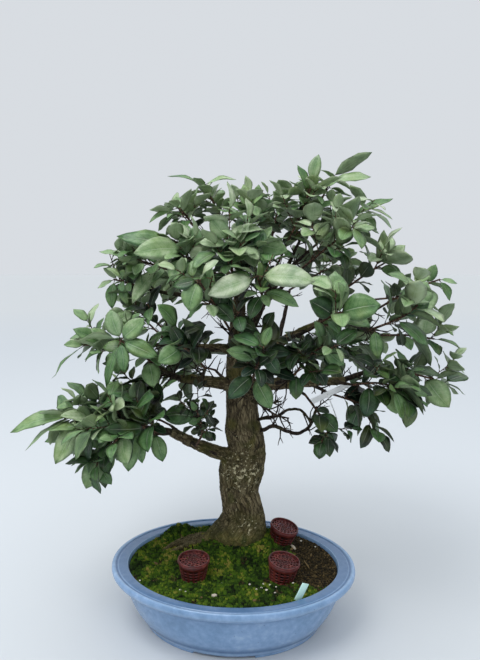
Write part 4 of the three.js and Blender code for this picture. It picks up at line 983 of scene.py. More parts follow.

# %% [markdown]
# ## Where the leaves are
#
# A leafy shoot is called a spray here. For each one there are the three points of its twig, how many
# leaves a seeded rule sets and how long they are, and the leaves that are listed one by one. The rule
# is the CAD's own, with the same draws in the same order, so every finer leaf lies on its CAD leaf.

# %% Sprays
# Leaves listed one by one: place along the twig, tip x y z, width, and the angle of the upper side from
# up (0) to the front (90).
SPRAYS = [
    ("left_low_tip", [(-122, 20, 278), (-177, 5, 291), (-224, -10, 303)], 6, 48,
     [(1, -312, -20, 281, 26, 35), (1, -288, -30, 258, 17, 5), (0.95, -245, -35, 241, 29, 80),
      (0.8, -229, -30, 260, 22, 75), (0.75, -233, -45, 312, 19, 50)]),
    ("left_low_under", [(-159, 40, 258), (-187, 30, 250), (-204, 25, 238)], 7, 46,
     [(0.4, -212, 5, 254, 20, 60), (0.9, -217, 12, 186, 30, 80), (0.5, -184, 25, 208, 15, 70),
      (1, -194, 35, 177, 18, 60)]),
    ("left_low_mid", [(-106, -10, 279), (-133, -35, 298), (-153, -50, 307)], 6, 48,
     [(0.6, -142, -45, 234, 27, 80), (0.45, -125, -32, 241, 18, 75), (0.1, -98, -20, 239, 22, 80),
      (0.3, -166, -75, 303, 25, 70), (0.6, -109, -48, 350, 17, 60)]),
    ("left_low_inner", [(-53, 10, 252), (-42, -10, 282), (-49, -25, 315)], 5, 24,
     [(1, -56, -38, 331, 9, 60), (0.8, -60, -24, 295, 12, 60), (0.35, -31, -12, 274, 12, 60),
      (0.85, -98, -15, 303, 28, 75)]),
    ("left_low_back", [(-101, 90, 260), (-156, 130, 274), (-194, 150, 278)], 11, 50, []),
    ("left_mid_tip", [(-138, 40, 386), (-180, 30, 397), (-215, 20, 400)], 7, 46,
     [(0.6, -226, 5, 425, 22, 55), (1, -240, 5, 402, 13, 60), (1, -263, 15, 351, 12, 10)]),
    ("left_mid_front", [(-103, 0, 370), (-128, -30, 397), (-148, -50, 417)], 4, 44,
     [(1, -114, -55, 446, 24, 75), (1, -96, -62, 396, 24, 70), (1, -143, -55, 374, 17, 80),
      (1, -168, -50, 353, 12, 75), (1, -160, -48, 457, 24, 75), (0.3, -106, -40, 350, 26, 80)]),
    ("left_mid_under", [(-100, 30, 355), (-123, 20, 342), (-137, 15, 337)], 7, 44,
     [(0.3, -125, 0, 317, 24, -60)]),
    ("left_mid_inner", [(-37, -20, 373), (-55, -50, 401), (-69, -65, 412)], 8, 46,
     [(0.9, -93, -82, 392, 27, 75)]),
    ("left_mid_back", [(-99, 30, 421), (-120, 25, 440), (-140, 20, 450)], 8, 46,
     [(1, -174, 5, 426, 20, 70)]),
    ("left_back", [(-103, 120, 385), (-152, 170, 421), (-192, 200, 436)], 11, 52, []),
    ("left_upper", [(-120, 30, 479), (-145, 25, 488), (-170, 20, 495)], 5, 32,
     [(1, -172, 15, 453, 17, 80), (0.8, -148, 8, 459, 14, 75), (1, -192, 15, 482, 10, 40),
      (0.8, -150, 5, 508, 12, 60)]),
    ("upper_left_tip", [(-92, 40, 508), (-125, 32, 519), (-150, 25, 526)], 5, 46,
     [(1, -190, 20, 534, 14, 30), (0.8, -137, -5, 494, 22, 70), (0.2, -138, -12, 462, 22, 75),
      (0.1, -112, -6, 490, 11, 75)]),
    ("upper_left_mid", [(-24, 0, 505), (-45, -15, 519), (-62, -25, 537)], 5, 48,
     [(1, -152, -35, 553, 27, 60), (1, -126, -58, 530, 31, 75), (1, -20, -45, 519, 26, 70)]),
    ("upper_left_top", [(-48, 60, 559), (-70, 60, 589), (-84, 60, 603)], 8, 44,
     [(0.7, -100, 50, 606, 16, 10), (0.9, -122, 48, 576, 12, 40)]),
    ("top_left", [(-11, 70, 560), (-31, 80, 613), (-49, 80, 637)], 9, 46,
     [(1, -98, 75, 647, 16, 20), (0.95, 6, 68, 641, 17, 25)]),
    ("top_centre", [(14, 60, 552), (24, 52, 575), (30, 45, 590)], 6, 38,
     [(1, 16, 42, 631, 20, 70), (1, 38, 38, 630, 18, 75), (1, 58, 38, 608, 18, 70),
      (0.9, -7, 38, 606, 14, 50)]),
    ("top_centre_front", [(5, -60, 483), (0, -72, 520), (-2, -80, 547)], 7, 44,
     [(1, -25, -86, 573, 23, 75), (0.9, -40, -84, 543, 16, 60)]),
    ("crown_mid", [(18, -20, 481), (22, -45, 520), (24, -55, 545)], 5, 44,
     [(1, 72, -66, 533, 26, 75), (1, 31, -72, 512, 27, 80)]),
    ("top_right_up", [(63, 50, 508), (98, 40, 587), (114, 32, 630)], 8, 44,
     [(1, 122, 28, 670, 18, 70), (0.6, 150, 22, 606, 15, 50), (0.9, 92, 26, 655, 13, 50)]),
    ("top_right_far", [(102, 70, 553), (130, 75, 605), (149, 80, 646)], 6, 48,
     [(1, 208, 75, 682, 21, -50), (0.9, 206, 68, 645, 20, 50)]),
    ("top_right_low", [(114, 50, 537), (167, 60, 581), (200, 60, 598)], 7, 44,
     [(0.75, 236, 54, 612, 17, 40), (0.9, 214, 60, 566, 14, 50)]),
    ("right_top_mid", [(96, 10, 508), (133, -20, 542), (157, -30, 559)], 11, 46, []),
    ("right_upper", [(144, 40, 464), (192, 30, 501), (222, 25, 520)], 8, 46,
     [(0.9, 246, 20, 543, 20, 70), (0.85, 241, 12, 497, 18, 70)]),
    ("right_upper_tip", [(213, 50, 448), (264, 50, 478), (308, 50, 494)], 5, 38,
     [(0.8, 298, 42, 516, 18, 75), (1, 334, 50, 488, 11, 40), (1, 324, 50, 462, 13, 60),
      (0.75, 286, 28, 448, 29, 80), (0.6, 243, 20, 458, 26, 80)]),
    ("right_mid_tip", [(224, 60, 409), (270, 68, 408), (310, 70, 402)], 6, 46,
     [(1, 352, 64, 386, 17, 10), (0.8, 294, 56, 441, 32, 75), (0.4, 268, 46, 388, 17, 60)]),
    ("right_mid_front", [(194, 0, 424), (228, -30, 444), (248, -40, 462)], 8, 48,
     [(0.1, 202, -20, 386, 20, 80)]),
    ("right_low_tip", [(238, 50, 357), (285, 55, 348), (325, 58, 335)], 6, 48,
     [(1, 358, 60, 316, 12, 10), (0.6, 322, 28, 305, 38, 75), (0.3, 258, 38, 300, 28, 80)]),
    ("right_low", [(170, -8, 347), (200, -18, 352), (230, -28, 348)], 7, 46,
     [(0.85, 226, -34, 312, 32, 80), (0.35, 187, -22, 304, 28, 80)]),
    ("right_under", [(140, 26, 328), (163, 18, 322), (190, 10, 314)], 7, 44, []),
    ("right_hang", [(104, 0, 331), (123, -20, 307), (137, -25, 285)], 5, 34,
     [(0.5, 146, -32, 286, 24, 80), (0.9, 136, -32, 250, 18, 75), (1, 114, -26, 262, 12, 60)]),
    ("right_inner", [(80, -30, 359), (103, -60, 398), (118, -74, 412)], 6, 38,
     [(0.5, 112, -76, 362, 20, 80), (0.2, 86, -50, 336, 20, 80), (1, 143, -85, 389, 21, 80)]),
    ("right_front", [(105, -40, 429), (122, -76, 448), (135, -98, 458)], 7, 48,
     [(0.9, 180, -114, 468, 34, 75), (0.8, 96, -100, 472, 28, 75)]),
    ("centre_front", [(40, -60, 457), (38, -90, 482), (32, -110, 503)], 4, 38,
     [(1, 99, -128, 496, 28, 75), (1, -27, -120, 480, 27, 75), (0.6, 82, -110, 465, 17, 70),
      (0.5, 23, -106, 450, 18, 80)]),
    ("centre_left_front", [(-2, -50, 430), (-24, -90, 472), (-40, -105, 498)], 6, 44,
     [(1, -50, -112, 460, 26, 80), (0.6, 4, -102, 446, 20, 75), (1, -70, -107, 490, 18, 60)]),
    ("centre_low_front", [(25, -40, 354), (34, -80, 389), (43, -95, 408)], 6, 44,
     [(1, 60, -104, 382, 18, 75), (0.9, -6, -97, 410, 20, 70), (0.4, -4, -70, 342, 24, 80),
      (0.3, 52, -68, 328, 24, 80)]),
    ("back_left", [(-31, 150, 457), (-76, 200, 489), (-115, 230, 506)], 11, 52, []),
    ("back_centre", [(11, 160, 490), (20, 215, 530), (29, 250, 560)], 11, 52, []),
    ("back_right", [(94, 150, 474), (155, 205, 503), (200, 238, 517)], 11, 52, []),
    ("back_low_right", [(110, 130, 359), (180, 185, 375), (230, 215, 381)], 11, 52, []),
    ("back_low_left", [(-30, 130, 342), (-76, 180, 344), (-114, 200, 349)], 11, 50, []),
    ("back_top", [(59, 110, 539), (67, 130, 583), (76, 140, 610)], 10, 48, []),
    ("right_far_back", [(221, 120, 459), (270, 148, 460), (308, 160, 450)], 11, 50, []),
]
print(len(SPRAYS), "sprays")

# %% [markdown]
# ## The rule for a leaf's place
#
# A leaf has a root on its twig, a way to its tip, an upper side and a width. Each one is tested at
# sixteen marks on its blade against the wood and the leaves that are there, and it is drawn again
# where it would touch. The rule reads the same seeded numbers as the CAD. It is written with numpy,
# whose numbers are as exact as the CAD's own.

# %% Leaf places
TOUCH_GAP = 0.3
TWIG_THICK = 3.6
TWIG_TIP = 2.6
ROOT_OUT = 0.8
LEAF_APART = 8
TWIG_APART = 5
OWN_APART = 6
NEAR_LEAF = 160
LEAF_TRIES = 24
LEAF_TURN = 2.39996
CROWN_MIDDLE = np.array([30.0, 50, 400])
# No leaf grows above a dome: its axis, its height there, and how fast it falls outwards.
DOME_X, DOME_Y = 50, 50
CROWN_TOP = 670
CROWN_SLOPE = 0.0025
FIRST_LEAF = 0.12
LAST_LEAF = 0.98
BASE_SPREAD = 1.25
TIP_SPREAD = 0.8
LEAF_DROOP = 0.25
LEAF_BOW = 0.3
# A leaf's length as a share of its spray's, and its width as a share of its length: least and spread.
LONG_LEAST, LONG_SPREAD = 0.62, 0.66
WIDE_LEAST, WIDE_SPREAD = 0.48, 0.14
STRAP_MIDDLE = (142, 14.4, 330)
STRAP_SIZE = (60, 1, 8)
STRAP_RISE = math.radians(26)
STRAP_TAIL = [(138, 14.4, 329), (146, 10, 309), (152, 8, 293)]
STRAP_TAIL_THICK = 1.6
MARKS = [(1, 0)] + [(part, across) for part, half in
                    ((0.15, 0.12), (0.33, 0.4), (0.5, 0.44), (0.67, 0.4), (0.84, 0.24))
                    for across in (0, -half, half)]
MARK_PARTS = np.array([part for part, _ in MARKS])[:, None]
MARK_ACROSS = np.array([across for _, across in MARKS])[:, None]


def seeded_numbers(seed):
    """Seeded numbers from 0 to 1, as the CAD draws them."""
    state = seed
    while True:
        state = (state * 1664525 + 1013904223) % 4294967296
        yield state / 4294967296


def unit(vector):
    return vector / math.sqrt(vector @ vector)


def leaning(way, turn, spread):
    """A direction at an angle to a way, turned round it."""
    level = np.array([1.0, 0, 0]) if abs(way[2]) > 0.9 else np.array([0, 0, 1.0])
    side = unit(np.cross(level, way))
    other = np.cross(way, side)
    return way * math.cos(spread) + (side * math.cos(turn) + other * math.sin(turn)) * math.sin(spread)


def dome_above(marks):
    """The dome's height over places."""
    return CROWN_TOP - CROWN_SLOPE * ((marks[..., 0] - DOME_X) ** 2 + (marks[..., 1] - DOME_Y) ** 2)


def twig_line(name, places):
    """A spray's three twig points, where the first one just touches the end of its limb."""
    carrier = next(points for points, _, spray in LIMBS if spray == name)
    line = [np.array(place, float) for place in places]
    line[0] = line[0] + unit(np.array(carrier[-1], float) - np.array(carrier[-2], float)) * TOUCH_GAP
    return line


def along_twig(line, part):
    """The place at a part of a twig's length, and the twig's direction there."""
    first, second = math.dist(line[0], line[1]), math.dist(line[1], line[2])
    reach = min(part * (first + second), first + second - 1.5)
    if reach < first:
        way = unit(line[1] - line[0])
        return line[0] + way * reach, way
    way = unit(line[2] - line[1])
    return line[1] + way * (reach - first), way


def leaf_frame(base, tip, width, face):
    """A leaf as its root, its three directions and its size. Its upper side looks towards face."""
    way = unit(tip - base)
    root = base + way * ROOT_OUT
    up = unit(face - (face @ way) * way)
    return {"root": root, "way": way, "up": up, "side": np.cross(up, way),
            "length": math.dist(root, tip), "width": width}


def blade_points(leaf, parts, across, lift=0.0):
    """Points on a leaf's blade: parts along it and across it, as columns."""
    bow = leaf["length"] * LEAF_BOW * parts * (1 - parts)
    return (leaf["root"] + leaf["way"] * parts * leaf["length"] + leaf["up"] * (bow + lift)
            + leaf["side"] * across * leaf["width"])


def wood_sticks():
    """Every stick of wood or strap that a leaf keeps clear of: owner, both ends, radius."""
    sticks = []
    for (z0, x0, y0, r0), (z1, x1, y1, r1) in zip(TRUNK_RINGS, TRUNK_RINGS[1:]):
        sticks.append(("trunk", (x0, y0, z0), (x1, y1, z1), max(r0, r1)))
    for points, thick, _ in LIMBS:
        for k in range(1, len(points)):
            part = (k - 1) / (len(points) - 1)
            sticks.append(("trunk", points[k - 1], points[k], (thick[0] + (thick[1] - thick[0]) * part) / 2))
    half = np.array([math.cos(STRAP_RISE), 0, math.sin(STRAP_RISE)]) * STRAP_SIZE[0] / 2
    middle = np.array(STRAP_MIDDLE)
    sticks.append(("strap", middle - half, middle + half, STRAP_SIZE[2] / 2))
    sticks.append(("strap", STRAP_TAIL[0], STRAP_TAIL[2], STRAP_TAIL_THICK))
    for name, line, _, _, _ in SPRAY_LINES:
        sticks.append((name, line[0], line[1], TWIG_THICK / 2))
        sticks.append((name, line[1], line[2], TWIG_THICK / 2))
    return sticks


SPRAY_LINES = [(name, twig_line(name, twig), *rest) for name, twig, *rest in SPRAYS]
sticks = wood_sticks()
STICK_OWNER = np.array([owner for owner, *_ in sticks])
STICK_START = np.array([a for _, a, _, _ in sticks], float)
STICK_WAY = np.array([b for _, _, b, _ in sticks], float) - STICK_START
STICK_RADIUS = np.array([radius for *_, radius in sticks])


def clear_of_wood(marks, owner, apart=TWIG_APART):
    """Whether a leaf's marks keep their distance from the wood of other owners."""
    others = STICK_OWNER != owner
    away = marks[:, None, :] - STICK_START[others][None]
    way = STICK_WAY[others]
    part = np.clip((away * way).sum(2) / (way * way).sum(1), 0, 1)
    gap = np.linalg.norm(away - part[:, :, None] * way, axis=2)
    return bool((gap >= STICK_RADIUS[others] + apart).all())


def clear_of_leaves(marks, owner, taken, own_apart=OWN_APART, apart=LEAF_APART):
    """Whether a leaf's marks keep their distance from the leaves that are there."""
    for other_owner, other in taken:
        if math.dist(marks[0], other[0]) < NEAR_LEAF:
            same = other_owner == owner
            first = 4 if same else 0
            gaps = np.linalg.norm(marks[first:, None] - other[None, first:], axis=2)
            if gaps.min() < (own_apart if same else apart):
                return False
    return True


def seeded_leaf(line, count, length, number, random):
    """One leaf of a spray, by the CAD's rule."""
    part = FIRST_LEAF + (LAST_LEAF - FIRST_LEAF) * math.sqrt((number + next(random)) / count)
    point, way = along_twig(line, part)
    turn = number * LEAF_TURN + math.pi * next(random)
    spread = BASE_SPREAD - (BASE_SPREAD - TIP_SPREAD) * part + 0.5 * (next(random) - 0.5)
    aim = leaning(way, turn, spread)
    aim[2] -= LEAF_DROOP
    aim = unit(aim)
    long = length * (LONG_LEAST + LONG_SPREAD * next(random))
    wide = long * (WIDE_LEAST + WIDE_SPREAD * next(random))
    facing = np.array([next(random) - 0.5, next(random) - 0.5, 0.75]) + 0.7 * unit(point - CROWN_MIDDLE)
    return leaf_frame(point, point + aim * long, wide, facing)


def leaf_marks(leaf):
    """The places on a leaf that are measured against its neighbours, its tip first."""
    return blade_points(leaf, MARK_PARTS, MARK_ACROSS)


taken = []
SPRAY_LEAVES = {name: [] for name, *_ in SPRAY_LINES}
for name, line, _, _, leaves in SPRAY_LINES:
    for part, x, y, z, width, face in leaves:
        turn = math.radians(face)
        facing = np.array([0, -math.sin(turn), math.cos(turn)])
        leaf = leaf_frame(along_twig(line, part)[0], np.array([x, y, z], float), width, facing)
        taken.append((name, leaf_marks(leaf)))
        SPRAY_LEAVES[name].append(leaf)
for k, (name, line, count, length, _) in enumerate(SPRAY_LINES):
    random = seeded_numbers(1000 + 77 * k)
    for number in range(count):
        for _ in range(LEAF_TRIES):
            leaf = seeded_leaf(line, count, length, number, random)
            marks = leaf_marks(leaf)
            under = marks[0][2] < dome_above(marks[0])
            if under and clear_of_wood(marks, name) and clear_of_leaves(marks, name, taken):
                taken.append((name, marks))
                SPRAY_LEAVES[name].append(leaf)
                break
print(len(taken), "leaves where the CAD has them")

# %% [markdown]
# ## Side shoots
#
# The CAD holds the leaves that give the crown its outline. A real crown has about four times as
# many: short side shoots leave each twig, and their leaves stand close together near the tip.
# They are drawn by the same kind of rule with other seeds, and they keep a smaller distance from
# their neighbours, because fine leaves may nearly touch.

# %% Shoots
SHOOTS = 5
LOW_SHOOTS = 8
LOW_SPRAYS = ("left_low", "right_low", "right_under", "right_hang", "right_inner", "back_low")
THIN_SHOOTS = 2
THIN_SPRAYS = ("left_mid", "left_upper", "right_mid", "right_upper", "right_far", "right_front", "left_back",
                "right_low_tip")
SHOOT_LEAVES = 7
SHOOT_TRIES = 9
SHOOT_APART = 2.6
SHOOT_THICK = 1.7
SHOOT_TIP = 1.1
SHOOT_FIRST = 0.12
SHOOT_LONG = (20, 48)
SHOOT_SPREAD = (0.6, 1.15)
SHOOT_RISE = 0.18
# A shoot's leaves lean out by this much, but the one at its tip only a little.
OUT_SPREAD = (0.75, 1.35)
TIP_OUT = 0.25
CROWN_LOW = np.array([-303.0, -118, 190])
CROWN_HIGH = np.array([352.0, 262, 672])
# No leaf grows in front of the strap, which the limb holds up to the light.
STRAP_LOW = np.array([104.0, -130, 294])
STRAP_HIGH = np.array([186.0, 14, 360])


def shoot_from(line, share, number, random, long):
    """A side shoot: its three points."""
    part = SHOOT_FIRST + (1 - SHOOT_FIRST) * share
    root, way = along_twig(line, min(part, 0.99))
    turn = number * LEAF_TURN + random.uniform(-0.5, 0.5)
    aim = leaning(way, turn, random.uniform(*SHOOT_SPREAD))
    aim[2] += SHOOT_RISE
    aim = unit(aim)
    middle = root + aim * long * 0.5
    lifted = unit(aim + np.array([0, 0, 0.25]))
    return [root, middle, middle + lifted * long * 0.5]


def shoot_leaf(points, number, random, mean):
    """A leaf on a shoot: they turn round it and stand close near its tip."""
    part = 1 - 0.75 * ((number + random.uniform(0, 0.6)) / SHOOT_LEAVES) ** 1.3
    start = points[0] + (points[1] - points[0]) * min(part * 2, 1)
    point = start + (points[2] - points[1]) * max(part * 2 - 1, 0)
    way = unit(points[2] - points[1])
    turn = number * LEAF_TURN + random.uniform(-0.4, 0.4)
    aim = leaning(way, turn, TIP_OUT if number == 0 else random.uniform(*OUT_SPREAD))
    aim[2] -= LEAF_DROOP * random.uniform(0.2, 2.2)
    aim = unit(aim)
    long = mean * random.uniform(0.5, 1.0)
    facing = np.array([random.uniform(-0.45, 0.45), random.uniform(-0.45, 0.45), 1.0])
    facing = facing + 0.5 * unit(point - CROWN_MIDDLE)
    return leaf_frame(point, point + aim * long, long * random.uniform(0.5, 0.64), facing)


def in_crown(marks):
    """Whether all marks are inside the crown and none is in front of the strap."""
    at_strap = ((marks > STRAP_LOW) & (marks < STRAP_HIGH)).all(axis=1).any()
    return bool((marks > CROWN_LOW).all() and (marks < CROWN_HIGH).all() and not at_strap
                and (marks[:, 2] < dome_above(marks)).all())


SPRAY_SHOOTS = {}
extra = 0
for k, (name, line, count, length, _) in enumerate(SPRAY_LINES):
    random = np.random.default_rng(500 + k)
    shoots = []
    many = SHOOTS
    if name.startswith(THIN_SPRAYS):
        many = THIN_SHOOTS
    elif name.startswith(LOW_SPRAYS):
        many = LOW_SHOOTS
    for number in range(many):
        share = (number + random.uniform(0.1, 0.9)) / many
        points = shoot_from(line, share, number, random, random.uniform(*SHOOT_LONG))
        if not clear_of_wood(np.array(points[1:]), name, 2) or not in_crown(np.array(points)):
            continue
        shoots.append(points)
        for which in range(SHOOT_LEAVES):
            for _ in range(SHOOT_TRIES):
                leaf = shoot_leaf(points, which, random, length)
                marks = leaf_marks(leaf)
                if in_crown(marks) and clear_of_wood(marks, name, 1) and clear_of_leaves(
                        marks, name, taken, SHOOT_APART, SHOOT_APART):
                    taken.append((name, marks))
                    SPRAY_LEAVES[name].append(leaf)
                    extra += 1
                    break
    SPRAY_SHOOTS[name] = shoots
print(extra, "more leaves on", sum(len(s) for s in SPRAY_SHOOTS.values()), "side shoots")

# %% [markdown]
# ## What a leaf looks like
#
# A thorny olive leaf is leathery and covered with tiny silver scales. From above it is sage to dark
# green with a pale midrib and a pale edge, and from below it is silver with brown dots. It is one
# blade with two sides, so the template has two sheets that share their edge: the upper one has the
# first material and the lower one has the second. A UV map keeps the place along the blade (U) and
# across it (V), which the veins follow.

# %% Leaf materials
VEIN_PAIRS = 8
VEIN_SLANT = 0.42
MIDRIB_WIDTH = 0.034
# A scale is 0.2 mm wide. It is drawn coarser than that, so that it shows.
SCALE_GRAIN = 1.3
BLOTCH = 11
HUE_PATCH = 34
RUST = 2.5
# Noise lies round a half, so half of its weight is taken off again.
NOISE_MEAN = 0.36


def leaf_material(name, tones, roughness, vein_colour, rim_colour, dots):
    """A leaf's surface. The UV map gives the place along the blade (X) and across it (Y)."""
    made, tree, shader = new_material(name, roughness, specular=0.4)
    place = node(tree, "TexCoord", out="Object")
    along = node(tree, "SeparateXYZ", {}, {0: node(tree, "TexCoord", out="UV")}, "X")
    across = node(tree, "SeparateXYZ", {}, {0: node(tree, "TexCoord", out="UV")}, "Y")

    off = node(tree, "Math", {"operation": "SUBTRACT"}, {0: across, 1: 0.5})
    off = node(tree, "Math", {"operation": "ABSOLUTE"}, {0: off})
    width = node(tree, "Math", {"operation": "SUBTRACT"}, {0: 1.15, 1: along})
    width = node(tree, "Math", {"operation": "MULTIPLY"}, {0: width, 1: MIDRIB_WIDTH})
    mid = node(tree, "Math", {"operation": "DIVIDE"}, {0: off, 1: width})
    mid = node(tree, "Math", {"operation": "SUBTRACT", "use_clamp": True}, {0: 1.0, 1: mid})
    slant = node(tree, "Math", {"operation": "MULTIPLY_ADD"}, {0: off, 1: -VEIN_SLANT, 2: along})
    wave = node(tree, "Math", {"operation": "MULTIPLY"}, {0: slant, 1: VEIN_PAIRS * math.tau})
    wave = node(tree, "Math", {"operation": "SINE"}, {0: wave})
    side = node(tree, "Math", {"operation": "MULTIPLY_ADD", "use_clamp": True}, {0: wave, 1: 5.0, 2: -4.2})

    tone = node(tree, "Attribute", {"attribute_name": "tone"}, out="Fac")
    cloud = node(tree, "TexNoise", {}, {"Vector": place, "Scale": 1 / (BLOTCH * MM), "Detail": 3.0})
    grain = node(tree, "TexNoise", {}, {"Vector": place, "Scale": 1 / (SCALE_GRAIN * MM), "Detail": 2.0})
    tone = node(tree, "Math", {"operation": "MULTIPLY_ADD"}, {0: cloud, 1: 0.5, 2: tone})
    tone = node(tree, "Math", {"operation": "MULTIPLY_ADD"}, {0: grain, 1: 0.22, 2: tone})
    # Painted shade: the tone is darker in the fold beside the midrib and along the side veins.
    painted_fold_shade = node(tree, "Math", {"operation": "MULTIPLY"}, {0: off, 1: 7.0})
    painted_fold_shade = node(tree, "Math", {"operation": "SUBTRACT", "use_clamp": True}, {0: 1.0, 1: painted_fold_shade})
    tone = node(tree, "Math", {"operation": "MULTIPLY_ADD"}, {0: painted_fold_shade, 1: -0.13, 2: tone})
    tone = node(tree, "Math", {"operation": "MULTIPLY_ADD"}, {0: side, 1: -0.07, 2: tone})
    tone = node(tree, "Math", {"operation": "SUBTRACT"}, {0: tone, 1: NOISE_MEAN})
    base = node(tree, "ValToRGB", {"stops": tones}, {0: tone})

    patch = node(tree, "TexNoise", {}, {"Vector": place, "Scale": 1 / (HUE_PATCH * MM), "Detail": 2.0})
    warm = node(tree, "Math", {"operation": "MULTIPLY_ADD", "use_clamp": True}, {0: patch, 1: 5.0, 2: -2.65})
    warm = node(tree, "Math", {"operation": "MULTIPLY"}, {0: warm, 1: 0.32})
    base = node(tree, "Mix", {"data_type": "RGBA"}, {0: warm, 6: base, 7: "#7a8440"}, 2)
    cold = node(tree, "Math", {"operation": "MULTIPLY_ADD", "use_clamp": True}, {0: patch, 1: -5.0, 2: 2.3})
    cold = node(tree, "Math", {"operation": "MULTIPLY"}, {0: cold, 1: 0.3})
    base = node(tree, "Mix", {"data_type": "RGBA"}, {0: cold, 6: base, 7: "#3f6257"}, 2)

    line = node(tree, "Math", {"operation": "MULTIPLY"}, {0: mid, 1: 0.5})
    base = node(tree, "Mix", {"data_type": "RGBA"}, {0: line, 6: base, 7: vein_colour}, 2)
    rim = node(tree, "Math", {"operation": "MULTIPLY_ADD", "use_clamp": True}, {0: off, 1: 14.0, 2: -6.16})
    rim = node(tree, "Math", {"operation": "MULTIPLY"}, {0: rim, 1: 0.3})
    base = node(tree, "Mix", {"data_type": "RGBA"}, {0: rim, 6: base, 7: rim_colour}, 2)
    speck = node(tree, "Math", {"operation": "GREATER_THAN"}, {0: grain, 1: 0.66})
    speck = node(tree, "Math", {"operation": "MULTIPLY"}, {0: speck, 1: dots})
    base = node(tree, "Mix", {"data_type": "RGBA"}, {0: speck, 6: base, 7: "#6c5a3e"}, 2)

    height = node(tree, "Math", {"operation": "ADD"}, {0: mid, 1: side})
    grain = node(tree, "Math", {"operation": "MULTIPLY"}, {0: grain, 1: 0.25})
    height = node(tree, "Math", {"operation": "SUBTRACT"}, {0: grain, 1: height})
    surface(tree, shader, base, height, 0.35, 0.4)
    return made


# Above, wax over silver scales gives a soft shine on sage green. The ramp runs to nearly silver at
# its top, and a leaf's place on it carries painted light and shade.
upper_leaf = leaf_material(
    "waxy leaf top with silver scales, living",
    [(0.0, "#0b170a"), (0.22, "#27431f"), (0.45, "#4d7140"), (0.68, "#7c9966"), (0.87, "#a3b58e"),
     (1.0, "#bfcaab")],
    roughness=0.4, vein_colour="#c3d0b2", rim_colour="#b5c2ac", dots=0.0)
# Below, the scales lie close and dull the leaf, with rusty dots; its grey green is made lighter and
# greener with painted light that shines through the blade.
under_leaf_with_painted_through_light = leaf_material(
    "scaly leaf underside with painted light through it, living",
    [(0.0, "#2a361f"), (0.4, "#5e704d"), (0.75, "#8b9f77"), (1.0, "#afbe9b")],
    roughness=0.65, vein_colour="#bfc8ab", rim_colour="#aebb98", dots=0.15)

# Young wood is covered with the same scales, here rusty ones, and has a faint dry sheen. Its rusty
# browns are darkened further with painted shade, as the twigs lie inside the crown.
young_wood_with_painted_shade, tree, shader = new_material("young twig with rusty scales and painted shade, living", 0.75, specular=0.25)
place = node(tree, "TexCoord", out="Object")
rust = node(tree, "TexNoise", {}, {"Vector": place, "Scale": 1 / (RUST * MM), "Detail": 3.0})
surface(tree, shader, node(tree, "ValToRGB", {"stops": [
    (0.35, "#1e140f"), (0.5, "#3d2b20"), (0.65, "#765a45")]}, {0: rust}))
print("leaf and twig materials made")

# %% [markdown]
# ## The leaf template
#
# The template is a flat grid whose places are not millimetres but parts: X runs along the blade from
# root to tip and Y across it. The grid is doubled, the lower sheet is turned round, and the two are
# welded along the edge. For each leaf the parts become a real blade: wide as the leaf's outline,
# bowed as the CAD's blade is, folded at the midrib, waved at the edge and curled at the tip.

# %% Leaf template
BLADE_ROWS = 7
BLADE_COLUMNS = 4
PETIOLE = 0.1
BLADE_THICK = 0.5
STALK_RADII = [0.8, 0.65, 0.4]
# Places in a spray's list of materials, where the upper side comes first.
UNDER, TWIG = 1, 2


def leaf_template():
    """The doubled grid, with a tone on each vertex."""
    bm = bmesh.new()
    bmesh.ops.create_grid(bm, x_segments=BLADE_ROWS, y_segments=BLADE_COLUMNS, size=0.5,
                          matrix=Matrix.Translation((0.5, 0, 0)))
    uv = bm.loops.layers.uv.new("leaf")
    for face in bm.faces:
        for loop in face.loops:
            loop[uv].uv = (loop.vert.co.x, loop.vert.co.y + 0.5)
    copied = bmesh.ops.duplicate(bm, geom=bm.verts[:] + bm.edges[:] + bm.faces[:])["geom"]
    lower = [g for g in copied if isinstance(g, bmesh.types.BMFace)]
    bmesh.ops.reverse_faces(bm, faces=lower)
    for face in lower:
        face.material_index = UNDER
    for vert in {vert for face in lower for vert in face.verts}:
        vert.co.z = -1
    for vert in bm.verts:
        if abs(vert.co.y) > 0.49 or vert.co.x < 0.01 or vert.co.x > 0.99:
            vert.co.z = 0
    bmesh.ops.remove_doubles(bm, verts=bm.verts, dist=0.001)
    mesh = bpy.data.meshes.new("leaf")
    bm.to_mesh(mesh)
    bm.free()
    mesh.attributes.new("tone", "FLOAT", "POINT")
    return mesh


def outline_half(t):
    """Half the blade's width at a part of its length, as a share of the whole width."""
    body = np.sin(np.pi * np.clip(t, 0, 1) ** 0.93) ** 0.72
    point = 1 - 0.3 * np.clip((t - 0.84) / 0.16, 0, 1)
    return 0.5 * body * point + 0.012


leaf_mesh = leaf_template()
TEMPLATE = np.empty(len(leaf_mesh.vertices) * 3)
leaf_mesh.vertices.foreach_get("co", TEMPLATE)
TEMPLATE = TEMPLATE.reshape(-1, 3)
print("leaf template:", len(leaf_mesh.polygons), "faces")


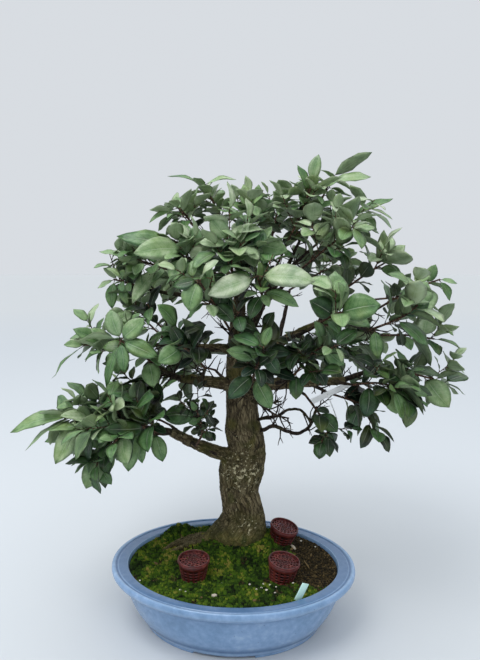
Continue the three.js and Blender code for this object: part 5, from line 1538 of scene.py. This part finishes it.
def add_leaf(bm, leaf, random, tone):
    """A finer blade where the leaf is, with its petiole."""
    t, across, sheet = TEMPLATE[:, 0], TEMPLATE[:, 1] * 2, TEMPLATE[:, 2]
    parts = PETIOLE + (1 - PETIOLE) * t
    half = outline_half(t)
    fold = random.uniform(0.1, 0.32)
    wave = random.uniform(0.01, 0.035) * leaf["length"]
    phase, turns = random.uniform(0, math.tau), random.uniform(1.2, 2.2)
    curl = random.uniform(0.0, 0.09) * leaf["length"]
    lift = (np.abs(across) ** 1.3 * half * leaf["width"] * fold
            + wave * across ** 2 * np.sin(turns * math.tau * t + phase + across * 0.8) * np.sin(np.pi * t)
            - curl * np.clip(t - 0.55, 0, 1) ** 2 * 4 * (t < 0.999) + sheet * BLADE_THICK)
    bend = random.uniform(-0.05, 0.05) * leaf["length"] * np.sin(np.pi * t)
    places = blade_points(leaf, parts[:, None], (across * half)[:, None], lift[:, None])
    places = places + leaf["side"] * bend[:, None]
    leaf_mesh.vertices.foreach_set("co", places.ravel())
    leaf_mesh.attributes["tone"].data.foreach_set("value", [tone] * len(leaf_mesh.vertices))
    bm.from_mesh(leaf_mesh)
    stalk = [Vector(leaf["root"] - leaf["way"] * ROOT_OUT)] + [
        Vector(blade_points(leaf, part, 0.0)) for part in (0.05, PETIOLE + 0.04)]
    tube_faces(bm, stalk, STALK_RADII, 4)


def tube_faces(bm, line, radii, sides):
    """A tube with the twig's material."""
    for vert in tube(bm, line, radii, sides):
        for face in vert.link_faces:
            face.material_index = TWIG


# %% [markdown]
# ## Sprays of leaves
#
# Each spray is one piece: its twig, its side shoots and all its leaves. A leaf's tone is drawn for
# each one, and painted light and shade are added to it: it is lighter at the top and the outside of
# the crown, and darker inside, where other leaves shade it.

# %% Spray pieces
# The leaves listed one by one, in their order: silver, light green, middling or dark. These tones are
# partly each leaf's own colour and partly painted light and shade.
LOOKS = {
    "left_low_tip": "lllls", "left_low_under": "mlmd", "left_low_mid": "mmmdd", "left_low_inner": "mmmd",
    "left_mid_tip": "mlm", "left_mid_front": "lmmmlm", "left_mid_under": "d", "left_mid_inner": "m",
    "left_mid_back": "l", "left_upper": "mmlm", "upper_left_tip": "lmlm", "upper_left_mid": "mls",
    "upper_left_top": "mm", "top_left": "ml", "top_centre": "lmmm", "top_centre_front": "ll",
    "crown_mid": "ll", "top_right_up": "lmm", "top_right_far": "ml", "top_right_low": "ml",
    "right_upper": "lm", "right_upper_tip": "mlmlm", "right_mid_tip": "mlm", "right_mid_front": "m",
    "right_low_tip": "mld", "right_low": "ld", "right_hang": "ddm", "right_inner": "ddm",
    "right_front": "md", "centre_front": "ssmd", "centre_left_front": "mdd", "centre_low_front": "dmdm",
}
LOOK_TONES = {"s": (0.86, 0.95), "l": (0.66, 0.82), "m": (0.46, 0.62), "d": (0.2, 0.34)}
# A leaf's tone where the others are drawn: its range, and the painted light and shade that its height, the
# leaves above it and its place outside add.
TONE_LOW, TONE_SPREAD = 0.32, 0.46
PAINTED_LIGHT_RISE = 0.0004
PAINTED_LIGHT_MIDDLE = 400
PAINTED_SHADE_DEPTH = 0.42
PAINTED_OUTSIDE_LIGHT = 0.58
OUTSIDE_MIDDLE = 0.45
CROWN_REACH = 300
# A leaf is in full shade when this many lie above it, in a cone that widens to the sky.
SHADE_LEAVES = 14
SHADE_REACH = 165
SKY = unit(np.array([-0.2, -0.45, 1.0]))


def blade_middle(leaf):
    """The middle of a leaf's length, below its bow."""
    return leaf["root"] + leaf["way"] * leaf["length"] / 2


middles = np.array([blade_middle(leaf) for leaves in SPRAY_LEAVES.values() for leaf in leaves])


def shade_at(middle):
    """How deep in the shade of other leaves a place is, from 0 to about 1."""
    away = middles - middle
    up = away @ SKY
    beside = np.linalg.norm(away - up[:, None] * SKY, axis=1)
    above = (up > 6) & (up < SHADE_REACH) & (beside < 12 + 0.35 * up)
    return min(np.count_nonzero(above) / SHADE_LEAVES, 1)


leaf_count = 0
for k, (name, line, _, _, _) in enumerate(SPRAY_LINES):
    random = np.random.default_rng(900 + k)
    bm = bmesh.new()
    bm.loops.layers.uv.new("leaf")
    bm.verts.layers.float.new("tone")
    twig_radii = [TWIG_THICK / 2, (TWIG_THICK + TWIG_TIP) / 4, TWIG_TIP / 2]
    points, radii = smooth_line([Vector(p) for p in line], twig_radii, 4)
    tube_faces(bm, points, radii, 7)
    for shoot in SPRAY_SHOOTS[name]:
        points, radii = smooth_line([Vector(p) for p in shoot], [SHOOT_THICK / 2, 0.7, SHOOT_TIP / 2], 3)
        tube_faces(bm, points, radii, 5)
    for number, leaf in enumerate(SPRAY_LEAVES[name]):
        middle = blade_middle(leaf)
        outside = math.dist(middle, CROWN_MIDDLE) / CROWN_REACH
        # Painted light and shade: the tone rises with height and towards the outside, and falls where other
        # leaves lie above.
        tone = (TONE_LOW + TONE_SPREAD * random.uniform(0, 1) ** 1.2 + PAINTED_LIGHT_RISE * (middle[2] - PAINTED_LIGHT_MIDDLE)
                - PAINTED_SHADE_DEPTH * shade_at(middle) + PAINTED_OUTSIDE_LIGHT * (outside - OUTSIDE_MIDDLE))
        if number < len(LOOKS.get(name, "")):
            tone = random.uniform(*LOOK_TONES[LOOKS[name][number]])
        add_leaf(bm, leaf, random, clamped(tone))
        leaf_count += 1
    finish_piece(bm, f"leaves_{name}", SEEN_PLACE, [upper_leaf, under_leaf_with_painted_through_light, young_wood_with_painted_shade],
                 [f"spray_{name}"])
print(leaf_count, "leaves in all")

# %% [markdown]
# ## Bare twigs
#
# Inside the crown there is little light, and many fine twigs have lost their leaves. They leave the
# limbs at wide angles, fork once and end thin.

# %% Bare twigs
BARE_PER_LIMB = 6
BARE_ABOVE = 300
BARE_RADII = [1.3, 1.1, 0.9, 0.7, 0.4]
FORK_RADII = [0.7, 0.6, 0.35]
bm = bmesh.new()
bm.verts.layers.float.new("moss")
random = np.random.default_rng(77)
hosts = [places for places, *_ in LIMBS if places[0][2] >= BARE_ABOVE]
for places in hosts + [places for places, _ in INNER_LIMBS]:
    points = points_of(places)
    for _ in range(BARE_PER_LIMB):
        k = int(random.integers(1, len(points)))
        start = points[k - 1].lerp(points[k], random.uniform(0.3, 0.95))
        way = (points[k] - points[k - 1]).normalized()
        out = Vector(random.uniform(-1, 1, 3))
        aim = (way * 0.8 + (out - way * out.dot(way)).normalized()).normalized()
        long = random.uniform(18, 46)
        kinks = [start]
        for _ in BARE_RADII[1:]:
            aim = (aim + Vector(random.uniform(-0.35, 0.35, 3)) + Vector((0, 0, 0.06))).normalized()
            kinks.append(kinks[-1] + aim * long / 4)
        if not in_crown(np.array(kinks)):
            continue
        tube(bm, kinks, BARE_RADII, 5)
        fork = kinks[2]
        aim = (aim + Vector(random.uniform(-1, 1, 3))).normalized()
        tube(bm, [fork, fork + aim * long * 0.2, fork + aim * long * 0.38], FORK_RADII, 4)
finish_piece(bm, "bare_twigs", SEEN_PLACE, [thin_bark_with_painted_shade])

# %% [markdown]
# ## Fertiliser baskets
#
# Each basket is moulded from dark red-brown plastic: a cup with slots in its wall and a lid with
# rings of holes, which let water through to the fertiliser inside.
# Both start as a spun skin. The faces where a slot or a hole is are deleted, and then the skin gets
# its thickness, so that every hole has real walls.

# %% Basket material
# Dyed through and moulded: a satin skin, duller and paler where fertiliser dust sticks.
DUST = 9
basket_plastic, tree, shader = new_material("dark red polypropylene, moulded", 0.42, ior=1.49)
place = node(tree, "TexCoord", out="Object")
dust = node(tree, "TexNoise", {}, {"Vector": place, "Scale": 1 / (DUST * MM), "Detail": 4.0})
surface(tree, shader, node(tree, "ValToRGB", {"stops": [
    (0.35, "#3b0f0f"), (0.55, "#5c1c1a"), (0.75, "#7d3a30")]}, {0: dust}))

# Oil cake crumbs with no shine: dark brown, and darkened nearly to black with painted shade, as they lie
# inside the basket.
feed_with_painted_shade, tree, shader = new_material("rapeseed fertiliser with painted shade, pressed grains", 0.95)
tone = node(tree, "Attribute", {"attribute_name": "tone"}, out="Fac")
surface(tree, shader, node(tree, "ValToRGB", {"stops": [
    (0, "#060403"), (0.6, "#100b07"), (1, "#1e160f")]}, {0: tone}))

# %% Baskets
BASKET_TOP = 44
BASKET_BOTTOM = 31
BASKET_HEIGHT = 26
BASKET_WALL = 1.5
BASKET_STEPS = 48
# The cup's slots: the lower and the upper edge of each band, and every third bar is left whole.
SLOT_BANDS = [(3, 6), (7.6, 10.6), (12.2, 15.2), (16.8, 19.8)]
CUP_COLLAR = 22.5
BAR_EVERY = 3
LID_RISE = 0.3
LID_THICK = 1.5
LID_RIM, LID_RIM_HEIGHT = 1.6, 2.4
# The lid's rings: solid and pierced in turn, from the middle outwards.
LID_RINGS = [0, 1.4, 4.3, 5.4, 8.3, 9.4, 12.3, 13.4, 16.3, 17.4, 20.2]
# The fertiliser: its number of grains, and how far it stays from the foot and the rim.
FILL_GRAINS = 150
FILL_LOW, FILL_GAP = 3.5, 6
BASKETS = [("basket_left", (-54, -43, 80), 1, 3), ("basket_right", (69, -45, 79), 8, 4),
           ("basket_rear", (74, 50, 84), 14, 6)]


def basket_place(at, lean, front):
    """A basket's place: its foot, its lean to the right and its tilt to the front in degrees."""
    return (SEEN_PLACE @ Matrix.Translation(at) @ Matrix.Rotation(math.radians(lean), 4, "Y")
            @ Matrix.Rotation(math.radians(front), 4, "X"))


def thicken(bm, thick):
    """Gives a skin its thickness."""
    bmesh.ops.recalc_face_normals(bm, faces=bm.faces)
    bmesh.ops.solidify(bm, geom=bm.faces[:], thickness=thick)
    bmesh.ops.recalc_face_normals(bm, faces=bm.faces)


def step_of(middle):
    """Which of a basket's steps round its axis a place is in."""
    return int(round(math.atan2(middle.y, middle.x) / math.tau * BASKET_STEPS - 0.5)) % BASKET_STEPS


def cup_mesh():
    """A cup with four bands of slots under a plain rim."""
    top, foot = BASKET_TOP / 2 - 1.5, BASKET_BOTTOM / 2
    heights = [0, *(z for band in SLOT_BANDS for z in band), CUP_COLLAR, BASKET_HEIGHT]
    line = [Vector((0, 0, 0))] + [Vector((foot + (top - foot) * z / BASKET_HEIGHT, 0, z)) for z in heights]
    bm = bmesh.new()
    spin_line(bm, line, BASKET_STEPS)
    gone = []
    for face in bm.faces:
        middle = face.calc_center_median()
        if step_of(middle) % BAR_EVERY != 0 and any(low < middle.z < high for low, high in SLOT_BANDS):
            gone.append(face)
    bmesh.ops.delete(bm, geom=gone, context="FACES")
    thicken(bm, -BASKET_WALL)
    return bm


def lid_mesh():
    """A lid with five rings of holes and a raised rim."""
    edge = BASKET_TOP / 2
    low = BASKET_HEIGHT + LID_RISE
    line = [Vector((r, 0, low)) for r in LID_RINGS]
    line += [Vector((edge - 1.2, 0, low)), Vector((edge, 0, low + 0.6))]
    bm = bmesh.new()
    spin_line(bm, line, BASKET_STEPS)
    gone = []
    for face in bm.faces:
        middle = face.calc_center_median()
        out = math.hypot(middle.x, middle.y)
        ring = next((k for k in range(1, len(LID_RINGS)) if out < LID_RINGS[k]), 0)
        every = 8 if ring < 4 else 4 if ring < 7 else 3
        if ring >= 2 and ring % 2 == 0 and (step_of(middle) + ring) % every != 0:
            gone.append(face)
    bmesh.ops.delete(bm, geom=gone, context="FACES")
    thicken(bm, LID_THICK)
    rim = bmesh.new()
    high = low + LID_RIM_HEIGHT
    profile = rounded([(edge - LID_RIM, low, 0.3), (edge, low, 0.3), (edge, high, 0.5),
                       (edge - LID_RIM, high, 0.5)], 2)
    spin_line(rim, profile, BASKET_STEPS, closed=True)
    bmesh.ops.recalc_face_normals(rim, faces=rim.faces)
    part = bpy.data.meshes.new("rim")
    rim.to_mesh(part)
    rim.free()
    bm.from_mesh(part)
    return bm


for k, (name, at, lean, front) in enumerate(BASKETS):
    place = basket_place(at, lean, front)
    finish_piece(cup_mesh(), f"{name}_slotted_cup", place, [basket_plastic],
                 [f"{name}_cup"])
    finish_piece(lid_mesh(), f"{name}_pierced_lid", place, [basket_plastic],
                 [f"{name}_lid"])
    random = np.random.default_rng(60 + k)
    places = []
    while len(places) < FILL_GRAINS:
        x, y = random.uniform(-17.5, 17.5, 2)
        z = random.uniform(FILL_LOW, BASKET_HEIGHT - FILL_GAP)
        if math.hypot(x, y) < 12.5 + 4.6 * z / BASKET_HEIGHT - 1:
            size = random.uniform(1.6, 2.6)
            places.append((Matrix.Translation((x, y, z)) @ Matrix.Diagonal((size, size * 0.8, size * 0.7, 1)),
                           random.uniform(0, 1)))
    finish_piece(scatter(grain_shape(), places), f"{name}_grains", place, [feed_with_painted_shade],
                 [f"{name}_fill"])

# %% [markdown]
# ## Label and strap
#
# The plant label is a thin strip of mint-white plastic with a point that stands in the soil. It is
# left bare. The strap is a flat white tie that lies against the lower right limb, with a thin tail.
# Both are a flat shape that is given a thickness, and a small bevel takes off the sharp edges.

# %% Label
LABEL_WIDTH = 11
LABEL_THICK = 1
LABEL_AT = (88.5, -95.5, 82.5)
LABEL_TURN = (8, 25, 28)
LABEL_OUTLINE = [(-LABEL_WIDTH / 2, 20), (-LABEL_WIDTH / 2, -6), (0, -14), (LABEL_WIDTH / 2, -6),
                 (LABEL_WIDTH / 2, 20)]
LABEL_BEVEL = 0.22
# Smooth pale plastic, with a shine that only shows along its edges.
label_plastic, tree, shader = new_material("mint polystyrene sheet, cut", 0.4)
shader.inputs["Base Color"].default_value = colour("#c9ece0")

bm = bmesh.new()
face = bm.faces.new([bm.verts.new((x, -LABEL_THICK / 2, z)) for x, z in LABEL_OUTLINE])
grown = bmesh.ops.extrude_face_region(bm, geom=[face])["geom"]
back_corners = [g for g in grown if isinstance(g, bmesh.types.BMVert)]
bmesh.ops.translate(bm, verts=back_corners, vec=(0, LABEL_THICK, 0))
bmesh.ops.recalc_face_normals(bm, faces=bm.faces)
bmesh.ops.bevel(bm, geom=bm.edges[:], offset=LABEL_BEVEL, segments=2, profile=0.5, affect="EDGES",
                material=-1)
back, lean, turn = (math.radians(angle) for angle in LABEL_TURN)
place = (SEEN_PLACE @ Matrix.Translation(LABEL_AT) @ Matrix.Rotation(turn, 4, "Z")
         @ Matrix.Rotation(lean, 4, "Y") @ Matrix.Rotation(back, 4, "X"))
finish_piece(bm, "bare_label", place, [label_plastic], ["plant_label"])

# %% Strap
STRAP_BEVEL = 0.3
# The whitest thing on the plant, and a little glossier than the label.
strap_plastic, tree, shader = new_material("white nylon strap, extruded", 0.35)
shader.inputs["Base Color"].default_value = colour("#fbfcfc")

bm = bmesh.new()
lying = Matrix.Translation(STRAP_MIDDLE) @ Matrix.Rotation(-STRAP_RISE, 4, "Y")
bmesh.ops.create_cube(bm, size=1, matrix=lying @ Matrix.Diagonal((*STRAP_SIZE, 1)))
bmesh.ops.bevel(bm, geom=bm.edges[:], offset=STRAP_BEVEL, segments=2, profile=0.5, affect="EDGES",
                material=-1)
tail, radii = smooth_line(points_of(STRAP_TAIL), [STRAP_TAIL_THICK / 2] * 3, 6)
tube(bm, tail, radii, 8)
bmesh.ops.recalc_face_normals(bm, faces=bm.faces)
finish_piece(bm, "white_tie", SEEN_PLACE, [strap_plastic], ["white_strap"])

# %% [markdown]
# ## Floor and light
#
# The plant stands on a plain pale floor under a soft studio light: one wide lamp above and to the
# left, and a pale sky that is brighter overhead. Soft light keeps the leaves' own colours.

# %% Studio
FLOOR_RADIUS = 30
LAMP_LIT = 3
# Matt paint. Past the lamp's reach it is a little paler, as painted light, so that it meets the wall without
# a line.
floor_look, tree, shader = new_material("pale studio floor, painted", 0.7)
place = node(tree, "TexCoord", out="Object")
away = node(tree, "VectorMath", {"operation": "LENGTH"}, {0: place}, "Value")
far = node(tree, "MapRange", {}, {"Value": away, "From Min": LAMP_LIT, "From Max": 2 * LAMP_LIT})
surface(tree, shader, node(tree, "Mix", {"data_type": "RGBA"}, {0: far, 6: "#c3c7ca", 7: "#c9cbcb"}, 2))
bm = bmesh.new()
bmesh.ops.create_circle(bm, cap_ends=True, segments=96, radius=FLOOR_RADIUS)
mesh = bpy.data.meshes.new("floor")
bm.to_mesh(mesh)
bm.free()
mesh.materials.append(floor_look)
floor = bpy.data.objects.new("floor", mesh)
bpy.context.scene.collection.objects.link(floor)
floor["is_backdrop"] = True

# The sky's strength, and the share of the way up where it begins and ends to grow.
HORIZON_LIGHT = 0.76
CEILING_LIGHT = 1.5
GROWS_FROM, GROWS_TO = 0.4, 0.8
world = bpy.data.worlds.new("studio")
world.use_nodes = True
tree = world.node_tree
way = node(tree, "TexCoord", out="Generated")
height = node(tree, "SeparateXYZ", {}, {0: way}, "Z")
strength = node(tree, "MapRange", {"interpolation_type": "SMOOTHSTEP"},
                {"Value": height, "From Min": GROWS_FROM, "From Max": GROWS_TO,
                 "To Min": HORIZON_LIGHT, "To Max": CEILING_LIGHT})
background = tree.nodes["Background"]
background.inputs["Color"].default_value = colour("#f4f9ff")
tree.links.new(strength, background.inputs["Strength"])
bpy.context.scene.world = world
bpy.context.scene.view_settings.view_transform = "Standard"


def lamp(name, at, aim, size, watts):
    """A square soft lamp that points at a place."""
    data = bpy.data.lights.new(name, "AREA")
    data.size = size
    data.energy = watts
    made = bpy.data.objects.new(name, data)
    made.location = at
    made.rotation_euler = (Vector(aim) - Vector(at)).to_track_quat("-Z", "Y").to_euler()
    bpy.context.scene.collection.objects.link(made)


LAMP_AT = (-0.7, -0.9, 2.4)
LAMP_SIZE = 1.2
LAMP_WATTS = 26
CROWN_AT = SEEN_PLACE @ Vector((0, 0, 350))
lamp("key", LAMP_AT, CROWN_AT, LAMP_SIZE, LAMP_WATTS)
print("studio set")

# %% [markdown]
# ## Size and finish
#
# The dressed plant must keep the CAD's size, so both boxes are written down for comparison.

# %% Finish
seen_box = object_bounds()
sizes = {"cad": [list(corner) for corner in cad_box], "visual": [list(corner) for corner in seen_box]}
print("sizes", sizes)
